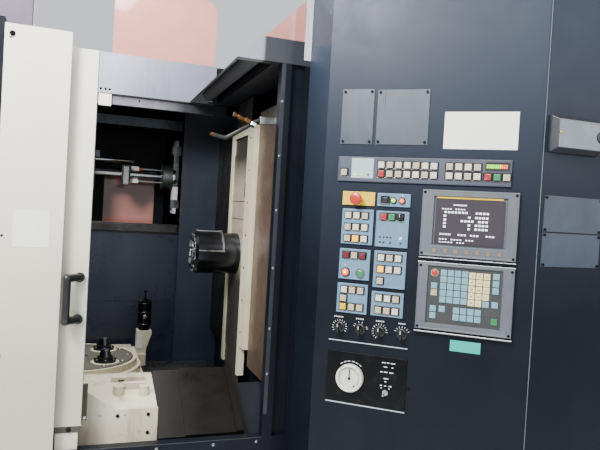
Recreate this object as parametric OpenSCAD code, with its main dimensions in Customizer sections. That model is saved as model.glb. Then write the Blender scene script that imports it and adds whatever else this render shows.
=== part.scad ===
// Horizontal machining center, operator side.
// +X to the right, +Y to the back, +Z up, origin on the floor under the middle of the machine.

/* [Overall] */
// Width of the whole machine
machine_w = 3600; // [3400:10:4200]
// Depth of the whole machine
machine_d = 2940; // [2860:10:3300]
// Height over the tinted rear screen
machine_h = 2640; // [2500:10:2900]
// Height of the levelling feet
foot_h = 60; // [40:1:100]
// Diameter of a foot pad
foot_d = 120; // [80:1:160]
// Thickness of boxed sheet panels
panel_t = 30; // [20:1:40]
// Thickness of plain sheet
sheet_t = 6; // [3:1:10]
// Running clearance between pieces that slide
run_gap = 0.3; // [0.2:0.1:1]

/* [Work area] */
// From the cabinet front back to the door plane
door_setback = 633; // [580:1:700]
// Right edge of the door opening
opening_right = 349; // [320:1:380]
// Left edge of the door opening
opening_left = -280; // [-320:1:-260]
// Height of the sill
sill_z = 716; // [680:1:740]
// Depth of the sill and of the jamb
sill_depth = 40; // [30:1:50]
// Height of the front jamb and underside of the roof beam
beam_z = 2090; // [2060:1:2130]
// Height of the roof beam
beam_h = 87; // [60:1:110]
// Left edge of the roof beam
beam_x = 181; // [150:1:210]
// Front of the rear header
header_y = 248; // [220:1:280]
// Height of the rear header plate
header_h = 203; // [180:1:230]
// Front of the back wall
back_wall_y = 755; // [740:1:800]
// Top of the ledge in the back wall
ledge_z = 1432; // [1400:1:1460]
// Height of the ledge rail
ledge_h = 48; // [30:1:60]
// Front of the corner panel
corner_y = 655; // [645:1:670]
// Left edge of the corner panel
corner_x = 221; // [200:1:240]
// Left wall of the work area
left_wall_x = -900; // [-940:1:-880]

/* [Doors] */
// Width of the sliding door
door_w = 665; // [650:1:690]
// Thickness of the sliding door
door_t = 30; // [24:1:32]
// Height of the top of the sliding door
door_top = 2044; // [2035:1:2060]
// Height of the bottom of the sliding door sheet
door_bottom = 797; // [780:1:820]
// Width of the fixed ivory panel
fixed_w = 195; // [180:1:210]
// Height of the top of the fixed ivory panel
fixed_top = 2082; // [2075:1:2095]
// Length of the door handle between its legs
handle_len = 139; // [120:1:160]
// Diameter of the door handle bar
handle_d = 26; // [20:1:32]

/* [Bed and table] */
// Height of the top of the bed
bed_z = 600; // [580:1:620]
// Width of the chip trough between the ways
trough_w = 900; // [860:10:940]
// Height of the linear rails
rail_h = 40; // [30:1:50]
// Width of the linear rails
rail_w = 60; // [45:1:70]
// Place of the table axis across the machine
table_x = -305; // [-310:1:-290]
// Width of the table base
base_w = 573; // [560:1:580]
// Front of the table base
base_front = -695; // [-700:1:-680]
// Height of the low front edge of the table base
base_low_z = 812; // [800:1:825]
// Radius of the rotary table
disc_r = 240; // [220:1:250]
// Height of the top of the rotary table
disc_z = 838; // [832:1:850]
// Thickness of the rotary table
disc_t = 25; // [20:1:30]
// Offset of the locating cones from the table axis
cone_off = 117; // [100:1:130]
// Diameter of the flange of a cone
cone_d = 96; // [80:1:104]

/* [Way covers] */
// Front edge of the way covers
cover_front_y = -745; // [-748:1:-740]
// Ridge of the way covers
cover_ridge_y = -470; // [-485:1:-460]
// Height of the front edge of the covers
cover_front_z = 727; // [720:1:735]
// Height of the ridge
cover_ridge_z = 899; // [890:1:903]
// Left edge of the middle cover plate
cover_seam_1 = 79; // [60:1:100]
// Left edge of the fixed cover plate
cover_seam_2 = 268; // [250:1:280]
// Step down from one plate to the next
cover_step = 6; // [5:1:8]

/* [Column and head] */
// Front of the cream column frame
frame_x = 400; // [395:1:405]
// Thickness of the column frame
frame_t = 32; // [28:1:34]
// Near edge of the column frame
frame_near = -262; // [-270:1:-255]
// Far edge of the column frame
frame_far = 168; // [160:1:172]
// Height of the top of the column frame
frame_top = 1935; // [1920:1:1945]
// Height of the bottom of the near frame member
frame_bottom = 911; // [905:1:925]
// Height of the ends of the inner guide strips
strip_bottom = 770; // [765:1:790]
// Front of the column casting
column_x = 500; // [495:1:510]
// Depth of the column casting along the spindle
column_len = 600; // [560:1:640]
// Height of the top of the column casting
column_top = 2250; // [2200:1:2260]
// Spindle axis, from front to back
spindle_y = -5; // [-10:1:0]
// Spindle axis height
spindle_z = 1330; // [1310:1:1350]
// Spindle housing diameter
housing_d = 200; // [180:1:204]
// Front of the spindle nose
nose_x = 183; // [170:1:195]
// Diameter of the spindle shaft
shaft_d = 112; // [100:1:124]
// Diameter of the tool taper at the nose
taper_d = 44; // [32:1:70]

/* [Tool changer] */
// Axis of the changer arm, from front to back
atc_y = 905; // [895:1:915]
// Axis height of the changer arm
atc_z = 1722; // [1700:1:1740]
// Length of the changer arm
arm_len = 450; // [420:1:470]
// Diameter of the changer shaft
atc_shaft_d = 44; // [36:1:56]
// Radius of the pocket circle of the magazine
pocket_r = 270; // [250:1:280]
// Number of magazine pockets
pocket_n = 16; // [12:1:18]
// Diameter of a tool holder in the magazine
pocket_d = 63; // [50:1:70]

/* [Console] */
// Width of the console face
console_w = 683; // [670:1:700]
// Turn of the console face
console_turn = 39.4; // [38:0.1:41]
// Height of the console tower
tower_top = 2400; // [2380:1:2450]
// Width of the screen unit and of the key unit
unit_w = 290; // [270:1:300]
// Height of the screen unit and of the key unit
unit_h = 210; // [200:1:216]
// Bottom of the key unit
mdi_z = 1199; // [1190:1:1210]
// Left edge of the screen unit on the console face
unit_u = 339; // [335:1:345]
// Bottom of the screen unit
crt_z = 1436; // [1430:1:1440]
// How far the units stand proud
unit_t = 14; // [8:1:20]
// Diameter of the rotary knobs
knob_d = 36; // [28:1:40]
// Height of the row of knobs
knob_z = 1173; // [1168:1:1180]
// Diameter of the pressure gauge
gauge_d = 92; // [80:1:100]
// Diameter of the emergency stop button
estop_d = 40; // [30:1:42]

/* [Hidden] */
$fn = 48;

// Whole machine
half_w = machine_w / 2;
half_d = machine_d / 2;
box_proud = 42;
cab_front = -half_d + box_proud;
door_y = cab_front + door_setback;
sill_back = door_y + sill_depth;
housing_top = 2100;
roof_z = 2300;

// Console corner points
tower_x = opening_right + 108;
face_dx = console_w * cos(console_turn);
face_dy = console_w * sin(console_turn);
side_front_y = cab_front + face_dy;
face_end_x = tower_x + face_dx;

// Way covers
cover_t = 3;
cover_run_min = 250;
cover_run_max = 100;
base_right = table_x + base_w / 2;
base_left = table_x - base_w / 2;
cover_lap = 16;
left_cover_x = -1290;
pit_wall_x = 470;
end_plate_right = cover_seam_1 - cover_run_min / 2 + cover_lap + cover_run_min;
slot_x = 295;
slot_drop = 72;
mid_plate_right = slot_x - 3;
slot_left = mid_plate_right - cover_run_min / 2 - cover_lap;
left_fixed_right = base_left - cover_run_min - 5;
end_plate_left = left_fixed_right - cover_lap - cover_run_max;

// Column travel and its side covers
column_min = 100;
column_max = 200;
side_x1 = frame_x + frame_t - 8;
side_t = 4;
side_x2 = side_x1 + side_t + run_gap;
side_x3 = side_x2 + side_t + run_gap;
side_bottom = 836;
side_top = 1990;
near_end = -560;
mid_end = -690;

// Head travel and its covers
head_min = 200;
head_max = 260;
face_t = 4;
plate_x1 = frame_x + face_t + 2;
plate_t = 3;
plate_step = plate_t + run_gap;
plate_near = -147;
plate_far = 121;
lip_near = -150;
lip_far = 104;
hole_far = lip_far + 20;
head_len = 420;
column_bottom = bed_z + rail_h + run_gap;

// Return of the corner panel and partition, clear of the changer arm
return_x = corner_x + 41;
partition_y = atc_y + arm_len / 2 + 10;

// Base lips that the feet carry
lip_w = 110;
lip_h = 30;

// A box given by its low and high limits
module block(x0, x1, y0, y1, z0, z1) {
  translate([x0, y0, z0]) cube([x1 - x0, y1 - y0, z1 - z0]);
}

// A cylinder along X from x0 to x1
module rod_x(x0, x1, y, z, d) {
  translate([x0, y, z]) rotate([0, 90, 0]) cylinder(h = x1 - x0, d = d);
}

// A cylinder along Y from y0 to y1
module rod_y(y0, y1, x, z, d) {
  translate([x, y0, z]) rotate([-90, 0, 0]) cylinder(h = y1 - y0, d = d);
}

// Local frame of the console face: x along the face, -y out of it, z up
module on_face() {
  translate([tower_x, side_front_y, 0]) rotate([0, 0, -console_turn]) children();
}

// A plate on the console face, t thick, standing proud from proud0
module face_plate(u0, u1, z0, z1, t, proud0 = 0) {
  block(u0, u1, -proud0 - t, -proud0, z0, z1);
}

// One foot with its pad and stem
module foot(x, y) {
  translate([x, y, 0]) {
    cylinder(h = 20, d = foot_d);
    cylinder(h = foot_h, d = foot_d / 3);
  }
}

module leveling_feet() {
  xs = [-half_w + 90, -1150, -300, 420, 1200, half_w - 90];
  color("dimgray") {
    for (x = xs) foot(x, sill_back + 70);
    for (x = xs) foot(x, half_d - panel_t - 50);
    foot(face_end_x + 100, cab_front + 80);
    foot(half_w - 90, cab_front + 80);
    foot(tower_x + 110, side_front_y + 30);
  }
}

module bed_casting() {
  trough_z = 300;
  rib = 60;
  color("darkslategray") difference() {
    union() {
      block(-1300, column_x, sill_back, back_wall_y + 20, foot_h, bed_z);
      block(column_x, 1500, sill_back, 1000, foot_h, bed_z);
    }
    block(-1300 - 1, pit_wall_x - 20, -trough_w / 2, trough_w / 2, trough_z, bed_z + 1);
    block(column_x + 180, 1500 - 150, -600, 850, foot_h - 1, bed_z - rib);
  }
}

// Rails of the table along X and of the column along Y
rail_y = [-620, 600];
rail_x = [column_x + 60, column_x + column_len - 120];
module linear_rails() {
  color("silver") for (y = rail_y)
    block(-1150, pit_wall_x - 60, y - rail_w / 2, y + rail_w / 2, bed_z, bed_z + rail_h);
  color("silver") for (x = rail_x)
    block(x, x + rail_w, -700, 640, bed_z, bed_z + rail_h);
}

// Tent-shaped plate over the front way, dropped by the given amount
module tent_plate(x0, x1, drop) {
  skirt = 90;
  back_y = cover_ridge_y + 8;
  translate([x0, 0, 0]) rotate([90, 0, 90]) linear_extrude(x1 - x0) polygon([
    [cover_front_y + drop / 2, cover_front_z - 30], [cover_front_y + drop / 2, cover_front_z - drop],
    [cover_ridge_y, cover_ridge_z - drop], [back_y - drop / 2, cover_ridge_z - drop - 4],
    [back_y - drop / 2, cover_ridge_z - skirt - 60], [back_y - drop / 2 - cover_t, cover_ridge_z - skirt - 60],
    [back_y - drop / 2 - cover_t, cover_ridge_z - drop - 4 - cover_t],
    [cover_ridge_y - 1, cover_ridge_z - drop - cover_t],
    [cover_front_y + drop / 2 + cover_t, cover_front_z - drop - cover_t],
    [cover_front_y + drop / 2 + cover_t, cover_front_z - 30]]);
}

module way_cover_fixed() {
  color("saddlebrown") tent_plate(cover_seam_2, slot_x, 0);
  color("saddlebrown") block(cover_seam_2, pit_wall_x, cover_front_y, cover_front_y + cover_t, bed_z,
    cover_front_z - 30);
  color("saddlebrown") tent_plate(left_cover_x, left_fixed_right, 0);
  color("saddlebrown") block(left_cover_x, left_fixed_right, cover_front_y, cover_front_y + cover_t,
    bed_z, cover_front_z - 30);
}

module way_cover_mid() {
  color("saddlebrown") tent_plate(cover_seam_1, mid_plate_right, cover_step);
}

module way_cover_end() {
  color("saddlebrown") tent_plate(base_right, end_plate_right, 2 * cover_step);
  color("saddlebrown") tent_plate(end_plate_left, base_left, 2 * cover_step);
}

// Cream casting that carries the rotary table
hub_d = 300;
module table_base() {
  foot_z = bed_z + rail_h + run_gap;
  deck_z = disc_z - disc_t - 6;
  plate_back = base_front + 14;
  ridge_y = -430;
  ridge_z = base_low_z + 50;
  high_x = table_x + 40;
  low_x = table_x + 138;
  color("antiquewhite") difference() {
    union() {
      translate([0, plate_back, 0]) rotate([90, 0, 0]) linear_extrude(plate_back - base_front)
        polygon([[base_left, foot_z + 40], [base_right, foot_z + 40], [base_right, base_low_z],
          [low_x, base_low_z], [high_x, base_low_z + 68], [base_left, base_low_z + 68]]);
      translate([base_left, 0, 0]) rotate([90, 0, 90]) linear_extrude(base_w) polygon([
        [plate_back, foot_z + 40], [plate_back, base_low_z - 10], [ridge_y, ridge_z],
        [ridge_y + 30, ridge_z], [ridge_y + 60, deck_z - 30], [430, deck_z - 30], [430, foot_z + 90],
        [690, foot_z + 90], [690, foot_z + 40]]);
      translate([table_x, spindle_y, foot_z + 40]) cylinder(h = deck_z - foot_z - 40, r = disc_r + 40,
        $fn = 96);
      translate([table_x, spindle_y, foot_z + 40]) cylinder(h = deck_z - foot_z - 40 + 30,
        r = disc_r + 22, $fn = 96);
      for (y = rail_y) for (x = [base_left + 40, base_right - 140])
        block(x, x + 100, y - 55, y + 55, foot_z, foot_z + 41);
    }
    translate([table_x, spindle_y, deck_z]) cylinder(h = 200, r = disc_r + 6, $fn = 96);
    translate([table_x, spindle_y, foot_z]) cylinder(h = 400, d = hub_d + 2 * run_gap);
    translate([base_left - 1, -380, foot_z - 1]) cube([base_w + 2, 150, 60]);
    for (p = [[high_x - 5, base_low_z + 20], [low_x + 8, base_low_z - 22], [base_right - 34,
      base_low_z - 22], [base_right - 34, base_low_z - 88]])
      rod_y(base_front - 1, base_front + 8, p[0], p[1], 13);
  }
  color("antiquewhite") for (p = [[-152, -562, 42], [-60, -574, 38]])
    translate([p[0], p[1], base_low_z - 20]) cylinder(h = 68, d = p[2]);
}

module rotary_table() {
  color("dimgray") translate([table_x, spindle_y, disc_z - disc_t]) difference() {
    union() {
      cylinder(h = disc_t, r = disc_r, $fn = 96);
      translate([0, 0, -130]) cylinder(h = 131, d = hub_d);
    }
    translate([0, 0, disc_t - 6]) cylinder(h = 7, d = 90);
  }
}

// Four cones that locate the pallet
module pallet_cones() {
  color("dimgray") for (sx = [-1, 1]) for (sy = [-1, 1])
    translate([table_x + sx * cone_off, spindle_y + sy * cone_off, disc_z]) difference() {
      union() {
        cylinder(h = 14, d = cone_d);
        translate([0, 0, 14]) cylinder(h = 12, d = cone_d * 0.7);
        translate([0, 0, 26]) cylinder(h = 30, d1 = cone_d * 0.56, d2 = cone_d * 0.4);
      }
      translate([0, 0, 30]) cylinder(h = 40, d = 14);
    }
}

// Bracket of the tool setter, bolted to the side of the table base
setter_w = 75;
setter_x = base_right + setter_w / 2;
setter_y = 358;
setter_top = 882;
module setter_bracket() {
  low_z = setter_top - 120;
  color("antiquewhite") {
    block(base_right, setter_x + 12, setter_y - 50, setter_y + 50, low_z - 59, low_z);
    translate([0, setter_y + setter_w / 2, 0]) rotate([90, 0, 0]) linear_extrude(setter_w) polygon([
      [base_right, low_z], [setter_x + 12, low_z], [setter_x + 14, low_z + 28],
      [base_right + setter_w, setter_top - 16], [base_right + setter_w, setter_top],
      [base_right, setter_top]]);
  }
}

module setter_probe() {
  color("black") translate([setter_x, setter_y, setter_top]) {
    cylinder(h = 26, d = 54);
    translate([0, 0, 26]) cylinder(h = 126, d = 70);
    translate([0, 0, 152]) cylinder(h = 14, d1 = 60, d2 = 20);
    translate([0, 0, 166]) cylinder(h = 36, d = 8);
    translate([0, 0, 202]) cylinder(h = 6, d = 18);
  }
}

// Column casting that carries the head
column_near = -300;
column_far = 290;
module column_casting() {
  inner_near = lip_near + 5;
  inner_far = lip_far + 26;
  rear_x = column_x + 450;
  joint = 0.1;
  color("antiquewhite") {
    block(rear_x, column_x + column_len, column_near, column_far, column_bottom, column_top);
    block(column_x, rear_x - joint, column_near, inner_near, column_bottom, column_top);
    block(column_x, rear_x - joint, inner_far, column_far, column_bottom, column_top);
    block(column_x, rear_x - joint, inner_near + joint, inner_far - joint, column_top - 120, column_top);
    block(column_x, rear_x - joint, inner_near + joint, inner_far - joint, column_bottom,
      column_bottom + 120);
    block(frame_x + frame_t, column_x, frame_near + 20, lip_near, frame_bottom + 10, frame_top - 5);
    block(frame_x + frame_t, column_x, hole_far, frame_far - 25, frame_bottom + 10, frame_top - 5);
  }
}

// Cream frame round the opening of the head
module column_frame() {
  color("antiquewhite") difference() {
    block(frame_x, frame_x + frame_t, frame_near, frame_far, frame_bottom, frame_top);
    block(frame_x - 1, frame_x + frame_t + 1, lip_near, hole_far, frame_bottom - 1, frame_top - 35);
    block(frame_x + face_t, frame_x + frame_t + 1, lip_near, hole_far, frame_top - 36, frame_top + 1);
    for (z = [frame_bottom + 40 : 160 : frame_top - 20])
      rod_x(frame_x - 1, frame_x + 6, lip_near - 24, z, 14);
  }
  color("antiquewhite") block(frame_x, frame_x + frame_t, lip_near - 26, lip_near, strip_bottom,
    frame_bottom);
  color("antiquewhite") block(frame_x, frame_x + frame_t, hole_far, frame_far, strip_bottom,
    frame_bottom);
}

module side_cover_end() {
  color("sienna") block(side_x1, side_x1 + side_t, near_end, frame_near, side_bottom, side_top);
  color("sienna") block(side_x1, side_x1 + side_t, frame_far, 450, side_bottom, side_top);
}

module side_cover_mid() {
  color("sienna") block(side_x2, side_x2 + side_t, mid_end, near_end + 120, side_bottom, side_top);
}

module side_cover_fixed() {
  color("sienna") block(side_x3, side_x3 + side_t, sill_back, mid_end + 120, side_bottom, side_top);
  color("sienna") block(side_x3, side_x3 + side_t, 348, corner_y, side_bottom, side_top);
}

// Head that carries the spindle, guided in the column
module head_casting() {
  color("antiquewhite") difference() {
    block(column_x + run_gap, column_x + head_len, lip_near + 5 + run_gap, lip_far + 26 - run_gap,
      spindle_z - 145, spindle_z + 145);
    rod_x(column_x - 1, column_x + head_len + 1, spindle_y, spindle_z, shaft_d + 2 * run_gap);
  }
}

module head_plate() {
  color("rosybrown") difference() {
    block(plate_x1, plate_x1 + plate_t, plate_near, plate_far, 860, 1820);
    rod_x(plate_x1 - 1, plate_x1 + plate_t + 1, spindle_y, spindle_z, housing_d);
  }
}

module head_cover_mid() {
  x0 = plate_x1 + plate_step;
  color("rosybrown") block(x0, x0 + plate_t, plate_near, plate_far, 1690, 1930);
  color("rosybrown") block(x0, x0 + plate_t, plate_near, plate_far, 760, 1000);
}

module head_cover_fixed() {
  x0 = plate_x1 + 2 * plate_step;
  color("rosybrown") block(x0, x0 + plate_t, lip_near, hole_far, 1815, 2080);
  color("rosybrown") block(x0, x0 + plate_t, lip_near, hole_far, 650, 925);
}

// Spindle housing with its front flange
module spindle_housing() {
  flange_x = nose_x + 10;
  color([0.12, 0.12, 0.14]) difference() {
    union() {
      rod_x(flange_x + 14, column_x, spindle_y, spindle_z, housing_d);
      translate([flange_x, spindle_y, spindle_z]) rotate([0, 90, 0])
        cylinder(h = 14, d1 = housing_d - 22, d2 = housing_d, $fn = 96);
    }
    rod_x(flange_x - 1, column_x + 1, spindle_y, spindle_z, shaft_d + 2 * run_gap);
  }
  bolt_n = 12;
  color([0.12, 0.12, 0.14]) for (i = [0 : bolt_n - 1])
    translate([0, spindle_y, spindle_z]) rotate([i * 360 / bolt_n, 0, 0])
      rod_x(flange_x - 8, flange_x, 0, (housing_d - 22) / 2 - 16, 15);
}

// Rotating spindle with a tapered bore and two drive keys
module spindle_shaft() {
  color("silver") difference() {
    rod_x(nose_x, column_x + head_len - 20, spindle_y, spindle_z, shaft_d);
    translate([nose_x - 0.01, spindle_y, spindle_z]) rotate([0, 90, 0])
      cylinder(h = 70, d1 = taper_d, d2 = taper_d * 0.55);
    rod_x(nose_x + 69, column_x + head_len, spindle_y, spindle_z, taper_d * 0.55);
  }
  color("silver") for (s = [-1, 1])
    block(nose_x - 8, nose_x, spindle_y - 8, spindle_y + 8, spindle_z + s * 38 - 11,
      spindle_z + s * 38 + 11);
}

module drawbar() {
  color("gray") rod_x(nose_x + 72, column_x + head_len - 30, spindle_y, spindle_z, taper_d * 0.55 - 1);
}

// Bent coolant pipe lying on the spindle housing
tube_d = 9;
tube_r = housing_d / 2 + tube_d / 2 + run_gap;
module coolant_tube() {
  x_front = nose_x + 30;
  x_back = nose_x + 140;
  a_top = 8;
  a_low = 82;
  joint_d = tube_d + 2;
  color("silver") translate([0, spindle_y, spindle_z]) {
    for (a = [a_top, a_low]) rotate([a, 0, 0]) {
      rod_x(x_front, x_back, 0, tube_r, tube_d);
      rod_x(x_back - joint_d / 2, x_back + joint_d / 2, 0, tube_r + 1.3, joint_d);
      rod_x(x_front - 8, x_front, 0, tube_r + 1.3, joint_d);
    }
    translate([x_back, 0, 0]) rotate([0, -90, 0]) rotate([0, 0, -a_low])
      rotate_extrude(angle = a_low - a_top) translate([tube_r + 1.3, 0]) square(tube_d - 2, center = true);
  }
}

// Brass coolant nozzles with their hose and bracket under the roof beam
hose_y = sill_back + 55;
module coolant_nozzles() {
  hose_t = 16;
  color("dimgray") block(opening_right + 4, opening_right + 26, sill_back, hose_y + 10, 1876, 1900);
  color("dimgray") block(300, opening_right + 4, hose_y - 10, hose_y + 10, 1874, 1902);
  color([0.1, 0.1, 0.1]) translate([0, hose_y + hose_t / 2, 0]) rotate([90, 0, 0]) linear_extrude(hose_t)
    polygon([[300, 1897], [268, 1880], [175, 1818], [118, 1827], [116, 1811], [178, 1801], [276, 1864],
      [300, 1877]]);
  color("goldenrod") translate([262, hose_y, 1876]) rotate([0, -68, 0]) cylinder(h = 34, d = 30);
  color("goldenrod") translate([232, hose_y, 1888]) rotate([0, -68, 0]) cylinder(h = 36, d = 22);
}

module back_wall() {
  color("midnightblue") block(left_wall_x + 3, return_x, back_wall_y, back_wall_y + 20, bed_z,
    ledge_z - ledge_h);
  color("midnightblue") block(left_wall_x + 3, -700, back_wall_y, back_wall_y + 20,
    ledge_z - ledge_h, 1992);
  color("midnightblue") block(left_wall_x + 3, corner_x, back_wall_y - 50, back_wall_y + 20,
    1992, 2046);
  color("slategray") block(-700, corner_x, back_wall_y - 20, back_wall_y + 20, ledge_z - ledge_h,
    ledge_z);
}

module corner_panel() {
  color("midnightblue") block(corner_x, 650, corner_y, corner_y + 20, bed_z, header_z_low() + 20);
  color("midnightblue") block(return_x, return_x + sheet_t, corner_y + 20, back_wall_y + 20, bed_z,
    header_z_low() + 20);
}

function header_z_low() = beam_z - 7;
header_z1 = beam_z - 7 + header_h;

// Plate over the back of the work area, with its lower strip
module rear_header() {
  color("lightslategray") difference() {
    block(left_wall_x + 3, 313, header_y, header_y + 20, header_z_low(), header_z1);
    for (x = [-258, -235, -216]) rod_y(header_y - 1, header_y + 21, x, header_z_low() + 22, 12);
  }
  color("dimgray") block(left_wall_x + 3, 313, header_y + 14, header_y + 34, header_z_low() - 48,
    header_z_low());
  color("ivory") block(-265, -206, header_y - 2, header_y + 14, header_z_low() - 60,
    header_z_low() - 2);
}

// Tinted panes: rear screen, changer window and front corner window
module tinted_windows() {
  r = 60;
  color("rosybrown") translate([0, 308, 0]) rotate([90, 0, 0]) linear_extrude(4) {
    difference() {
      translate([-210, header_z1]) square([520, machine_h - header_z1]);
      for (x = [-210, 310 - r]) translate([x, machine_h - r]) square([r, r]);
    }
    translate([-210 + r, machine_h - r]) circle(r = r);
    translate([310 - r, machine_h - r]) circle(r = r);
  }
  color("rosybrown") block(-197, 116, partition_y - 4, partition_y, 1413, 1715);
  color("rosybrown") translate([0, door_y + 6, 0]) rotate([90, 0, 0]) linear_extrude(4)
    polygon([[278, beam_z + beam_h], [430, beam_z + beam_h], [430, beam_z + beam_h + 152]]);
}

// Drive housing of the tool changer with its guide bar
module atc_gearbox() {
  color("slategray") difference() {
    block(-860, -262, back_wall_y + 20, 1040, atc_z - 110, atc_z + 110);
    rod_x(-861, -261, atc_y, atc_z, atc_shaft_d + 2 * run_gap);
  }
  color("silver") rod_x(-262, -36, atc_y - 30, atc_z + 78, 18);
  color("silver") rod_x(-262, -36, atc_y + 30, atc_z + 78, 18);
}

// Changer shaft with its clamp block and flange
flange_x0 = 132;
flange_x1 = 190;
module atc_shaft() {
  color("silver") rod_x(-770, flange_x0, atc_y, atc_z, atc_shaft_d);
  color([0.1, 0.1, 0.1]) block(-106, -58, atc_y - 55, atc_y + 55, atc_z - 72, atc_z + 52);
  color("silver") for (dz = [-38, 38]) rod_x(-58, flange_x0, atc_y, atc_z + dz, 16);
  color("darkslategray") rod_x(flange_x0, flange_x1, atc_y, atc_z, 154);
}

// Double-ended changer arm with its grippers
module atc_arm() {
  x0 = flange_x1 + run_gap;
  color("gainsboro") {
    rod_x(x0, x0 + 26, atc_y, atc_z, 110);
    block(x0 + 8, x0 + 40, atc_y - 32, atc_y + 32, atc_z - arm_len / 2 + 50, atc_z + arm_len / 2 - 50);
    for (s = [-1, 1]) {
      block(x0, x0 + 48, atc_y - 40, atc_y + 40, atc_z + s * (arm_len / 2 - 60) - 25,
        atc_z + s * (arm_len / 2 - 60) + 25);
      for (t = [-1, 1])
        block(x0 + 10, x0 + 34, atc_y + t * 31 - 9, atc_y + t * 31 + 9,
          atc_z + s * (arm_len / 2 - 18) - 18, atc_z + s * (arm_len / 2 - 18) + 18);
    }
  }
}

// Magazine drum with tool holders round its rim
drum_y = atc_y + arm_len / 2;
drum_z = atc_z - pocket_r;
module magazine_drum() {
  color("slategray") {
    rod_x(320, 380, drum_y, drum_z, 2 * pocket_r - pocket_d - 20);
    rod_x(380, tower_x - run_gap, drum_y, drum_z, 90);
  }
  color("gray") for (i = [0 : pocket_n - 1]) translate([0, drum_y, drum_z])
    rotate([i * 360 / pocket_n, 0, 0]) {
      rod_x(310, 400, 0, pocket_r, pocket_d);
      rod_x(326, 374, 0, pocket_r - pocket_d / 2 - 8, 26);
    }
}

module front_sill() {
  color("midnightblue") block(-half_w + panel_t, tower_x, door_y, sill_back, foot_h, sill_z);
}

// Jamb right of the opening: two flush strips and a recess
module front_jamb() {
  color("midnightblue") {
    block(opening_right, opening_right + 37, door_y, sill_back, sill_z, beam_z);
    block(opening_right + 37, tower_x - 17, door_y + 17, sill_back, sill_z, beam_z);
    block(tower_x - 17, tower_x, door_y, sill_back, sill_z, beam_z);
  }
}

// Roof beam from the front to the rear header, its left side cut at 45 degrees, hollow for the roller
roller_d = 60;
roller_x = beam_x + 94;
roller_z = beam_z + 43;
beam_end = 12;
module roof_beam() {
  wall = 8;
  hollow_x = roller_x + roller_d / 2 + 20;
  color("slategray") difference() {
    translate([0, header_y, 0]) rotate([90, 0, 0]) linear_extrude(header_y - door_y)
      polygon([[beam_x, beam_z], [tower_x, beam_z], [tower_x, beam_z + beam_h],
        [beam_x + beam_h, beam_z + beam_h]]);
    translate([0, header_y - beam_end, 0]) rotate([90, 0, 0]) linear_extrude(header_y - beam_end - sill_back)
      polygon([[beam_x + wall - 1, beam_z - 1], [hollow_x, beam_z - 1], [hollow_x, beam_z + beam_h - 5],
        [beam_x + wall + beam_h - 5, beam_z + beam_h - 5]]);
  }
}

module shade_roller() {
  color([0.15, 0.15, 0.16]) rod_y(sill_back + run_gap, header_y - beam_end - run_gap, roller_x, roller_z,
    roller_d);
}

module fixed_panel() {
  x1 = opening_left - 85;
  color("ivory") difference() {
    block(x1 - fixed_w, x1, door_y - panel_t - 5, door_y - 5, foot_h + 60, fixed_top);
    for (z = [fixed_top - 42, 1425]) rod_y(door_y - panel_t - 6, door_y - 4, x1 - fixed_w + 18, z, 9);
  }
}

module sliding_door() {
  y0 = door_y + 4;
  color("ivory") block(opening_left - door_w, opening_left, y0, y0 + door_t, door_bottom, door_top);
}

// Bent bar handle on the leading edge of the door
module door_handle() {
  x0 = opening_left - 28;
  z0 = 1143 + handle_d / 2;
  y0 = door_y + 4;
  rose_t = 12;
  out = 46;
  side = 38;
  leg = sqrt(pow(out - rose_t, 2) + side * side);
  turn = atan2(side, out - rose_t);
  color("black") {
    for (z = [z0, z0 + handle_len]) {
      rod_y(y0 - rose_t, y0, x0, z, handle_d + 6);
      translate([x0, y0 - rose_t + 1, z]) rotate([0, 0, -turn]) rotate([90, 0, 0])
        cylinder(h = leg, d = handle_d);
      translate([x0 - side, y0 - out, z]) sphere(d = handle_d + 2);
    }
    translate([x0 - side, y0 - out, z0]) cylinder(h = handle_len, d = handle_d);
  }
}

// Foot strip of the door with its two carriage blocks
module door_foot() {
  y0 = door_y + 6;
  bar_x = opening_left - 8;
  color("silver") block(opening_left - door_w, opening_left - 2, y0, y0 + door_t - 4, door_bottom - 22,
    door_bottom);
  color("gray") for (x = [opening_left - 82, opening_left - door_w + 10])
    block(x, x + 72, y0 + 2, y0 + door_t - 6, sill_z + run_gap, door_bottom - 22);
  color("silver") block(bar_x, opening_left, door_y + 4 + door_t, sill_back + 14, door_bottom + 5,
    door_bottom + 128);
  color("silver") block(opening_left, opening_left + 16, sill_back + 2, sill_back + 14,
    door_bottom + 5, door_bottom + 128);
}

// Plain housing left of the work area, with the pocket that the door slides into
module left_housing() {
  fixed_left = opening_left - 85 - fixed_w;
  color("midnightblue") {
    block(-half_w, fixed_left, door_y - panel_t - 5, door_y - 5, foot_h, housing_top);
    block(-half_w, -half_w + panel_t, door_y - 5, half_d - panel_t, foot_h, housing_top);
    block(-half_w, left_wall_x + 3, half_d - panel_t, half_d, foot_h, housing_top);
    block(-half_w, left_wall_x + 3, door_y - panel_t - 5, half_d, housing_top, housing_top + panel_t);
    block(-half_w + panel_t, opening_left - 10, sill_back, sill_back + 7, sill_z - 16, door_top);
    block(-half_w + panel_t, -half_w + lip_w + 40, sill_back, half_d - panel_t, foot_h, foot_h + lip_h);
    block(-half_w + lip_w, left_wall_x, half_d - lip_w, half_d - panel_t, foot_h, foot_h + lip_h);
  }
  color("midnightblue") difference() {
    block(left_wall_x, left_wall_x + 3, sill_back + 7, half_d - panel_t, bed_z, housing_top);
    block(left_wall_x - 1, left_wall_x + 4, -450, 450, 900, 1900);
    block(left_wall_x - 1, left_wall_x + 4, sill_back, cover_ridge_y + 30, bed_z - 1, cover_ridge_z + 12);
    for (y = rail_y) block(left_wall_x - 1, left_wall_x + 4, y - rail_w / 2 - 2, y + rail_w / 2 + 2,
      bed_z - 1, bed_z + rail_h + 2);
  }
  color("slategray") block(fixed_left - 90, fixed_left + 70, sill_back + 7, sill_back + 77, door_top - 260,
    machine_h - 140);
}

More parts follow.
